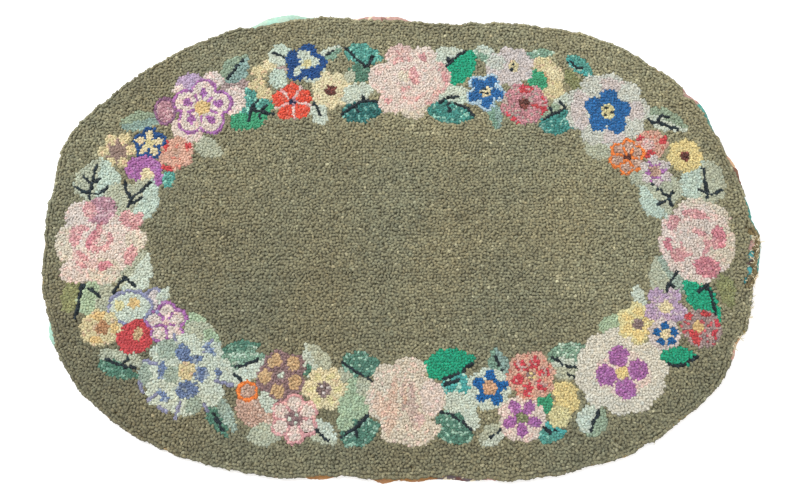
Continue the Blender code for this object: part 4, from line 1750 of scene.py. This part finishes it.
@dataclass
class Backs:
    """The flat backs of the loops under the burlap, inside the binding.

    Attributes:
        plan: the rug's outline.
        hooked: where the loops are.
        inset: how far inside the edge they begin, in millimetres.
    """

    plan: RugPlan
    hooked: Hooking
    inset: float = 40.0
    half_long: float = 2.7
    half_wide: float = 1.9
    low: float = 0.15
    high: float = 1.5

    def build(self, material: Material, colours: Array) -> Piece:
        """Makes all the backs as one piece.

        Args:
            material: the wool.
            colours: each loop's linear colour.
        """
        rng = np.random.default_rng(SEED + 3)
        mask = self.plan.depth(self.hooked.x, self.hooked.y) > self.inset
        loops, colours = self.hooked.chosen(mask), colours[mask]
        n = len(loops)
        corner = np.array([(-1, -1, 1), (1, -1, 1), (1, 1, 1), (-1, 1, 1), (0, 0, 0)], float)
        long = self.half_long * rng.normal(1.0, 0.08, n)
        wide = self.half_wide * loops.size * rng.normal(1.0, 0.08, n)
        low = self.low + 0.12 * np.abs(rng.normal(0.0, 1.0, n))
        u = corner[None, :, 0] * long[:, None]
        v = corner[None, :, 1] * wide[:, None]
        z = low[:, None] + (self.high - low)[:, None] * corner[None, :, 2]
        c, s = np.cos(loops.heading)[:, None], np.sin(loops.heading)[:, None]
        x, y = loops.x[:, None] + u * c - v * s, loops.y[:, None] + u * s + v * c
        places = np.stack([x, y, z], axis=-1).reshape(-1, 3)
        one = np.array([(0, 4, 1), (1, 4, 2), (2, 4, 3), (3, 4, 0)])
        faces = (one[None] + 5 * np.arange(n)[:, None, None]).reshape(-1, 3)
        piece = mesh_piece("loop_backs", places * MM, faces, material, "hooked_rug")
        colour_points(piece, "dye", np.repeat(colours, 5, axis=0))
        # Painted shade: the backs are slightly darkened, as wool a little below the crests.
        value_points(piece, "depth", np.full(5 * n, 0.9))
        run = np.array([(0, 0), (0, 0.5), (1, 0)])
        uv_corners(piece, "yarn_run", np.tile(run, (len(faces), 1)))
        uv_corners(piece, "OFBake", cell_map(n, self.strips(len(one))))
        return piece

    @staticmethod
    def strips(faces: int) -> Array:
        """A map of one back, with a strip for each face."""
        strips = []
        for k in range(faces):
            x0, x1 = 0.06 + 0.88 * k / faces, 0.06 + 0.88 * (k + 0.9) / faces
            strips += [(x0, 0.08), (x1, 0.08), (x0, 0.92)]
        return np.array(strips)


class PrintZone(Enum):
    """Ground colour of the printed cotton by the stretch of edge that it shows along."""

    MINT = "#a9d2bf"
    PINK_BROWN = "#c09a90"
    TEAL = "#57a295"
    PEACH = "#d6b28c"
    DUSK = "#6f6468"
    MUSTARD = "#a09a58"
    RUST = "#b07f4d"
    # Plain olive-brown cotton, darkened as painted shade where the binding lies under the pile's edge.
    SHADED_DRAB = "#8b8663"


# The bearing in degrees where each print's stretch of edge ends, counted round from +X.
ZONES: tuple[tuple[float, PrintZone], ...] = (
    (6.6, PrintZone.TEAL), (15.5, PrintZone.PEACH), (24.5, PrintZone.TEAL), (28.5, PrintZone.PINK_BROWN),
    (84.0, PrintZone.SHADED_DRAB), (106.5, PrintZone.PINK_BROWN), (126.5, PrintZone.MINT),
    (168.0, PrintZone.MUSTARD), (192.0, PrintZone.SHADED_DRAB), (200.0, PrintZone.MINT), (246.0, PrintZone.SHADED_DRAB),
    (278.0, PrintZone.RUST), (296.0, PrintZone.DUSK), (336.0, PrintZone.SHADED_DRAB), (354.0, PrintZone.PEACH),
    (360.0, PrintZone.TEAL),
)

PLAIN_ZONES = (PrintZone.MINT, PrintZone.TEAL, PrintZone.SHADED_DRAB, PrintZone.MUSTARD, PrintZone.RUST)


@dataclass
class Binding:
    """The printed cotton strip turned under the edge, in the space of its solid.

    Attributes:
        node: the solid that it stands for.
        thickness: of the strip, in millimetres.
    """

    node: str = "edge_binding"
    thickness: float = 1.0
    count: int = 900

    def lines(self) -> tuple[Array, Array]:
        """The solid's outer and inner lines as distances from the middle, at even bearings."""
        places = np.unique(solid_places(self.node)[:, :2].round(3), axis=0)
        bearing = np.arctan2(places[:, 1], places[:, 0])
        reach = np.hypot(*places.T)
        order = np.argsort(bearing)
        bearing, reach = bearing[order], reach[order]
        local = np.array([np.median(reach[np.abs(bearing - b) < 0.06]) for b in bearing])
        outer = reach > local
        t = np.linspace(-math.pi, math.pi, self.count, endpoint=False)
        far, near = (np.interp(t, bearing[of], reach[of], period=math.tau) for of in (outer, ~outer))
        return far, near

    def build(self, material: Material) -> Piece:
        """Makes the strip with its turned edge, small puckers and print colours."""
        far, near = self.lines()
        rng = np.random.default_rng(SEED + 4)
        t = np.linspace(-math.pi, math.pi, self.count, endpoint=False)
        fray = rng.normal(0.0, 0.35, self.count)
        crease = 0.12 * np.sin(t * 83.0) + 0.10 * np.sin(t * 131.0 + 1.0)
        rows = []
        shares = (0.0, 0.15, 0.5, 0.85, 1.0)
        for share in shares:
            r = near + (far + fray * share - near) * share
            z = self.thickness - 0.18 + crease * (1.0 if 0.0 < share < 1.0 else 0.3)
            rows.append((r, z))
        rows.append((far + fray + 0.25, np.full(self.count, 0.5 * self.thickness)))
        for share in reversed(shares):
            r = near + (far + fray * share - near) * share
            rows.append((r, 0.04 + 0.3 * np.clip(crease, 0.0, 1.0)))
        rows.append((near - 0.2, np.full(self.count, 0.5 * self.thickness)))
        places = np.vstack([np.column_stack([r * np.cos(t), r * np.sin(t), z]) for r, z in rows]) * MM
        faces = outward(places, ring_faces(len(rows), self.count, closed=True))
        piece = mesh_piece("printed_binding", places, faces, material, self.node)
        ground, figure = self.print_of(t)
        colour_points(piece, "print_zone", np.tile(ground, (len(rows), 1)))
        value_points(piece, "print_figure", np.tile(figure, len(rows)))
        return piece

    @staticmethod
    def print_of(t: Array) -> tuple[Array, Array]:
        """Ground colour and strength of the figures at bearings in radians."""
        degrees = np.degrees(t) % 360.0
        ground = np.zeros((len(t), 3))
        figure = np.ones(len(t))
        start = 0.0
        for end, zone in ZONES:
            here = (degrees >= start) & (degrees < end)
            ground[here] = linear(zone.value)
            figure[here] = 0.15 if zone in PLAIN_ZONES else 0.9
            start = end
        return ground, figure

    def area(self) -> float:
        """Its flat area in square metres."""
        far, near = self.lines()
        step = math.tau / self.count
        return float(0.5 * step * np.sum(far**2 - near**2)) * MM * MM


@dataclass
class Threads:
    """Frayed burlap threads at the worn edge, and the stitches that hold the binding."""

    plan: RugPlan
    sides: int = 5

    def tube(self, line: Array, radius: float) -> tuple[Array, Array]:
        """Vertices and quads of a thin tube along a line, in millimetres, tapered to its end."""
        run = np.gradient(line, axis=0)
        run /= np.linalg.norm(run, axis=1)[:, None]
        up = np.array([0.0, 0.0, 1.0])
        side = np.cross(run, up)
        size = np.linalg.norm(side, axis=1)[:, None]
        side = np.where(size > 1e-3, side / np.maximum(size, 1e-6), np.array([1.0, 0.0, 0.0]))
        lift = np.cross(side, run)
        taper = np.linspace(1.0, 0.45, len(line))[:, None, None]
        turn = np.linspace(0.0, math.tau, self.sides, endpoint=False)
        ring = np.cos(turn)[None, :, None] * side[:, None, :] + np.sin(turn)[None, :, None] * lift[:, None, :]
        places = (line[:, None, :] + radius * taper * ring).reshape(-1, 3)
        ring_of, corner = np.divmod(np.arange((len(line) - 1) * self.sides), self.sides)
        a = ring_of * self.sides + corner
        b = ring_of * self.sides + (corner + 1) % self.sides
        return places, np.stack([a, b, b + self.sides, a + self.sides], axis=1)

    @staticmethod
    def joined(name: str, tubes: list[tuple], material: Material, slot: str) -> Piece:
        """One piece from many tubes, each given as its vertices and quads."""
        places, faces, count = [], [], 0
        for spots, quads in tubes:
            places.append(spots)
            faces.append(quads + count)
            count += len(spots)
        return mesh_piece(name, np.vstack(places) * MM, np.vstack(faces), material)

    def on_edge(self, bearing: float, inset: float, height: float) -> Array:
        """A place a little inside the edge, at a bearing in degrees."""
        t = math.radians(bearing)
        r = self.plan.edge_at(t) - inset
        return np.array([r * math.cos(t), r * math.sin(t), height])

    def frays(self, material: Material) -> Piece:
        """Threads that lie loose in the torn gap and past the worn edge."""
        rng = np.random.default_rng(SEED + 5)
        tubes = []
        for start, end, deepest, slant, count in ((-8.0, 0.2, 12.0, 1.2, 40), (-21.0, -8.0, 3.0, 1.5, 44)):
            for _ in range(count):
                bearing = rng.uniform(start, end)
                root = self.on_edge(bearing, rng.uniform(0.0, deepest), rng.uniform(4.5, 8.0))
                across = rng.uniform(-slant, slant)
                length = rng.uniform(4.0, 11.0)
                way = np.array([math.cos(across), math.sin(across), 0.0])
                tubes.append(self.tube(self.curl(root, way, length, rng), rng.uniform(0.45, 0.85)))
        for spot in ((362.0, -52.0), (366.0, -58.0), (372.0, -66.0)):
            way = np.array([0.8, -0.6, 0.0])
            tubes.append(self.tube(self.curl(np.array([*spot, 9.4]), way, 9.0, rng), 0.4))
        for bearing in (69.0, 70.5, 342.0, 343.0, 341.0, 340.0, 194.5, 34.0, 27.0, 320.0, 25.0, 14.0):
            root = self.on_edge(bearing, 3.0, 3.5)
            way = root * np.array([1.0, 1.0, 0.0]) / np.linalg.norm(root[:2])
            tubes.append(self.tube(self.curl(root, way, rng.uniform(6.0, 10.0), rng), 0.35))
        return self.joined("frayed_threads", tubes, material, "hooked_wool")

    @staticmethod
    def curl(root: Array, way: Array, length: float, rng: np.random.Generator) -> Array:
        """A short wandering line from a root, which settles towards the floor outside the rug."""
        spots, heading = [root], math.atan2(way[1], way[0])
        bend = rng.normal(0.0, 0.25)
        for i in range(8):
            heading += bend + rng.normal(0.0, 0.18)
            step = np.array([math.cos(heading), math.sin(heading), 0.0]) * length / 8.0
            spot = spots[-1] + step
            spot[2] = max(root[2] + 0.5 * math.sin(i * 0.7) - 0.25 * i, 0.5)
            spots.append(spot)
        return np.array(spots)

    def hems(self, material: Material) -> Piece:
        """Slip stitches along the binding's inner edge, under the rug."""
        rng = np.random.default_rng(SEED + 6)
        inner = self.plan.inset(37.2, 1440, worn=False)
        outer = self.plan.inset(40.6, 1440, worn=False)
        tubes = []
        for i in range(0, 1440, 5):
            a, b = inner[i], outer[(i + 2) % 1440]
            lift = 0.22 + 0.05 * rng.random()
            under = [(*(a + share * (b - a)), lift) for share in (0.3, 0.7)]
            line = np.array([(*a, 0.6), *under, (*b, 0.9)])
            tubes.append(self.tube(line, 0.22))
        return self.joined("hem_stitches", tubes, material, "printed_cotton")


@dataclass
class TornPatch:
    """Printed cotton that shows through the hole in the worn edge, in millimetres and degrees."""

    plan: RugPlan
    start: float = -8.5
    end: float = 0.0
    near: float = 3.4
    far: float = 13.8
    low: float = 2.35
    high: float = 3.1

    def build(self, material: Material) -> Piece:
        """Makes the patch as a thin crumpled strip over the burlap."""
        along, across = 56, 8
        bearing = np.radians(np.linspace(self.start, self.end, along))
        inset = np.linspace(self.near, self.far, across)
        edge = self.plan.edge_at(bearing)
        r = edge[:, None] - inset[None, :]
        x, y = r * np.cos(bearing)[:, None], r * np.sin(bearing)[:, None]
        crumple = 0.25 * np.sin(0.9 * y + 2.0 * inset[None, :]) + 0.2 * np.sin(1.7 * y + 1.0)
        top = self.high + crumple
        grid = np.arange(along * across).reshape(along, across)
        quads = np.stack([grid[:-1, :-1], grid[1:, :-1], grid[1:, 1:], grid[:-1, 1:]], -1).reshape(-1, 4)
        upper = np.stack([x, y, top], -1).reshape(-1, 3)
        lower = np.stack([x, y, np.full_like(x, self.low)], -1).reshape(-1, 3)
        count = along * across
        rim = np.concatenate([grid[:, 0], grid[-1, 1:], grid[-2::-1, -1], grid[0, -2:0:-1]])
        nxt = np.roll(rim, -1)
        walls = np.stack([rim, nxt, nxt + count, rim + count], -1)
        faces = np.vstack([quads, quads[:, ::-1] + count, walls[:, ::-1]])
        triangles = np.vstack([faces[:, [0, 1, 2]], faces[:, [0, 2, 3]]])
        places = np.vstack([upper, lower]) * MM
        triangles = outward(places, triangles)
        piece = mesh_piece("torn_patch", places, triangles, material)
        ground = np.tile(linear("#5fb3b4"), (2 * count, 1))
        colour_points(piece, "print_zone", ground)
        value_points(piece, "print_figure", np.full(2 * count, 0.9))
        return piece

    def size(self) -> tuple[float, float]:
        """Its flat width and length in metres."""
        reach = float(self.plan.edge_at(math.radians(-3.0)))
        return ((self.far - self.near) * MM, math.radians(self.end - self.start) * (reach - 8.0) * MM)


# --- Studio ---


@dataclass(frozen=True)
class Studio:
    """The floor, lights and camera.

    Attributes:
        elevation: the camera's height angle over the floor, in degrees.
        distance: from the camera to the point that it looks at, in metres.
        lens: in millimetres on a 36 mm sensor.
        aim: the point that it looks at.
        half_floor: half the floor's side, in metres.
    """

    elevation: float = 77.0
    distance: float = 1.173
    lens: float = 41.4
    aim: tuple[float, float, float] = (-0.0033, -0.0188, 0.0)
    half_floor: float = 6.0

    def build(self) -> None:
        """Sets up everything round the rug."""
        self.floor()
        self.lights()
        self.camera()

    def floor(self) -> None:
        """A plain pale floor."""
        mesh = bpy.data.meshes.new("floor")
        side = self.half_floor
        corners = [(x * side, y * side, 0.0) for x, y in ((-1, -1), (1, -1), (1, 1), (-1, 1))]
        mesh.from_pydata(corners, [], [(0, 1, 2, 3)])
        material, _, shader = new_material("floor")
        settle(shader, Base_Color=(0.9, 0.9, 0.9, 1.0), Roughness=0.9)
        settle(shader, Emission_Color=(1.0, 1.0, 1.0, 1.0), Emission_Strength=0.25)
        mesh.materials.append(material)
        floor = bpy.data.objects.new("floor", mesh)
        bpy.context.scene.collection.objects.link(floor)

    def lights(self) -> None:
        """A pale sky, a large key light from the far left and a weak fill."""
        world = bpy.data.worlds.new("studio")
        world.use_nodes = True
        sky = world.node_tree.nodes["Background"]
        settle(sky, Color=(1.0, 1.0, 1.0, 1.0), Strength=0.86)
        bpy.context.scene.world = world
        self.lamp("key_light", (-1.3, 1.2, 1.7), 1.1, 44.0)
        self.lamp("fill_light", (1.6, -1.2, 1.8), 1.8, 12.0)
        bpy.context.scene.view_settings.view_transform = "Standard"

    @staticmethod
    def lamp(name: str, place: tuple[float, float, float], size: float, power: float) -> None:
        """A square lamp that shines on the rug's middle."""
        data = bpy.data.lights.new(name, "AREA")
        data.shape = "SQUARE"
        data.size = size
        data.energy = power
        lamp = bpy.data.objects.new(name, data)
        lamp.location = place
        lamp.rotation_euler = (-Vector(place)).to_track_quat("-Z", "Y").to_euler()
        bpy.context.scene.collection.objects.link(lamp)

    def camera(self) -> None:
        """The camera in front of the rug, looking steeply down."""
        data = bpy.data.cameras.new("camera")
        data.lens = self.lens
        data.sensor_width = 36.0
        data.clip_start = 0.01
        camera = bpy.data.objects.new("camera", data)
        up = math.radians(self.elevation)
        aim = Vector(self.aim)
        camera.location = aim + self.distance * Vector((0.0, -math.cos(up), math.sin(up)))
        camera.rotation_euler = (aim - camera.location).to_track_quat("-Z", "Y").to_euler()
        bpy.context.scene.collection.objects.link(camera)
        bpy.context.scene.camera = camera


def main() -> None:
    """Builds the rug and its studio."""
    logging.basicConfig(level=logging.INFO, format="%(name)s: %(message)s")
    plan = RugPlan("hooked_rug")
    hooked = Hooker(plan, Chart()).work()
    log.info("hooked %d loops", len(hooked))
    effects = Effects()
    wool = WoolFinish().material(effects, "hooked_wool")
    burlap = BurlapFinish().material(effects, "burlap")
    cotton = PrintFinish().material(effects, "printed_cotton")
    thread = ThreadFinish().material("bare_thread")

    pile = Pile(plan, hooked)
    loops = pile.build(wool)
    ground = Ground(plan)
    sheet = ground.build(burlap)
    colours = pile.dyes(np.random.default_rng(SEED + 1))
    backs = Backs(plan, hooked).build(wool, colours)
    binding = Binding()
    strip = binding.build(cotton)
    threads = Threads(plan)
    frays = threads.frays(thread)
    hems = threads.hems(thread)
    torn = TornPatch(plan)
    patch = torn.build(cotton)

    ground.area()
    binding.area() / BINDING_WIDTH
    torn.size()
    Studio().build()


if __name__ == "__main__":
    main()
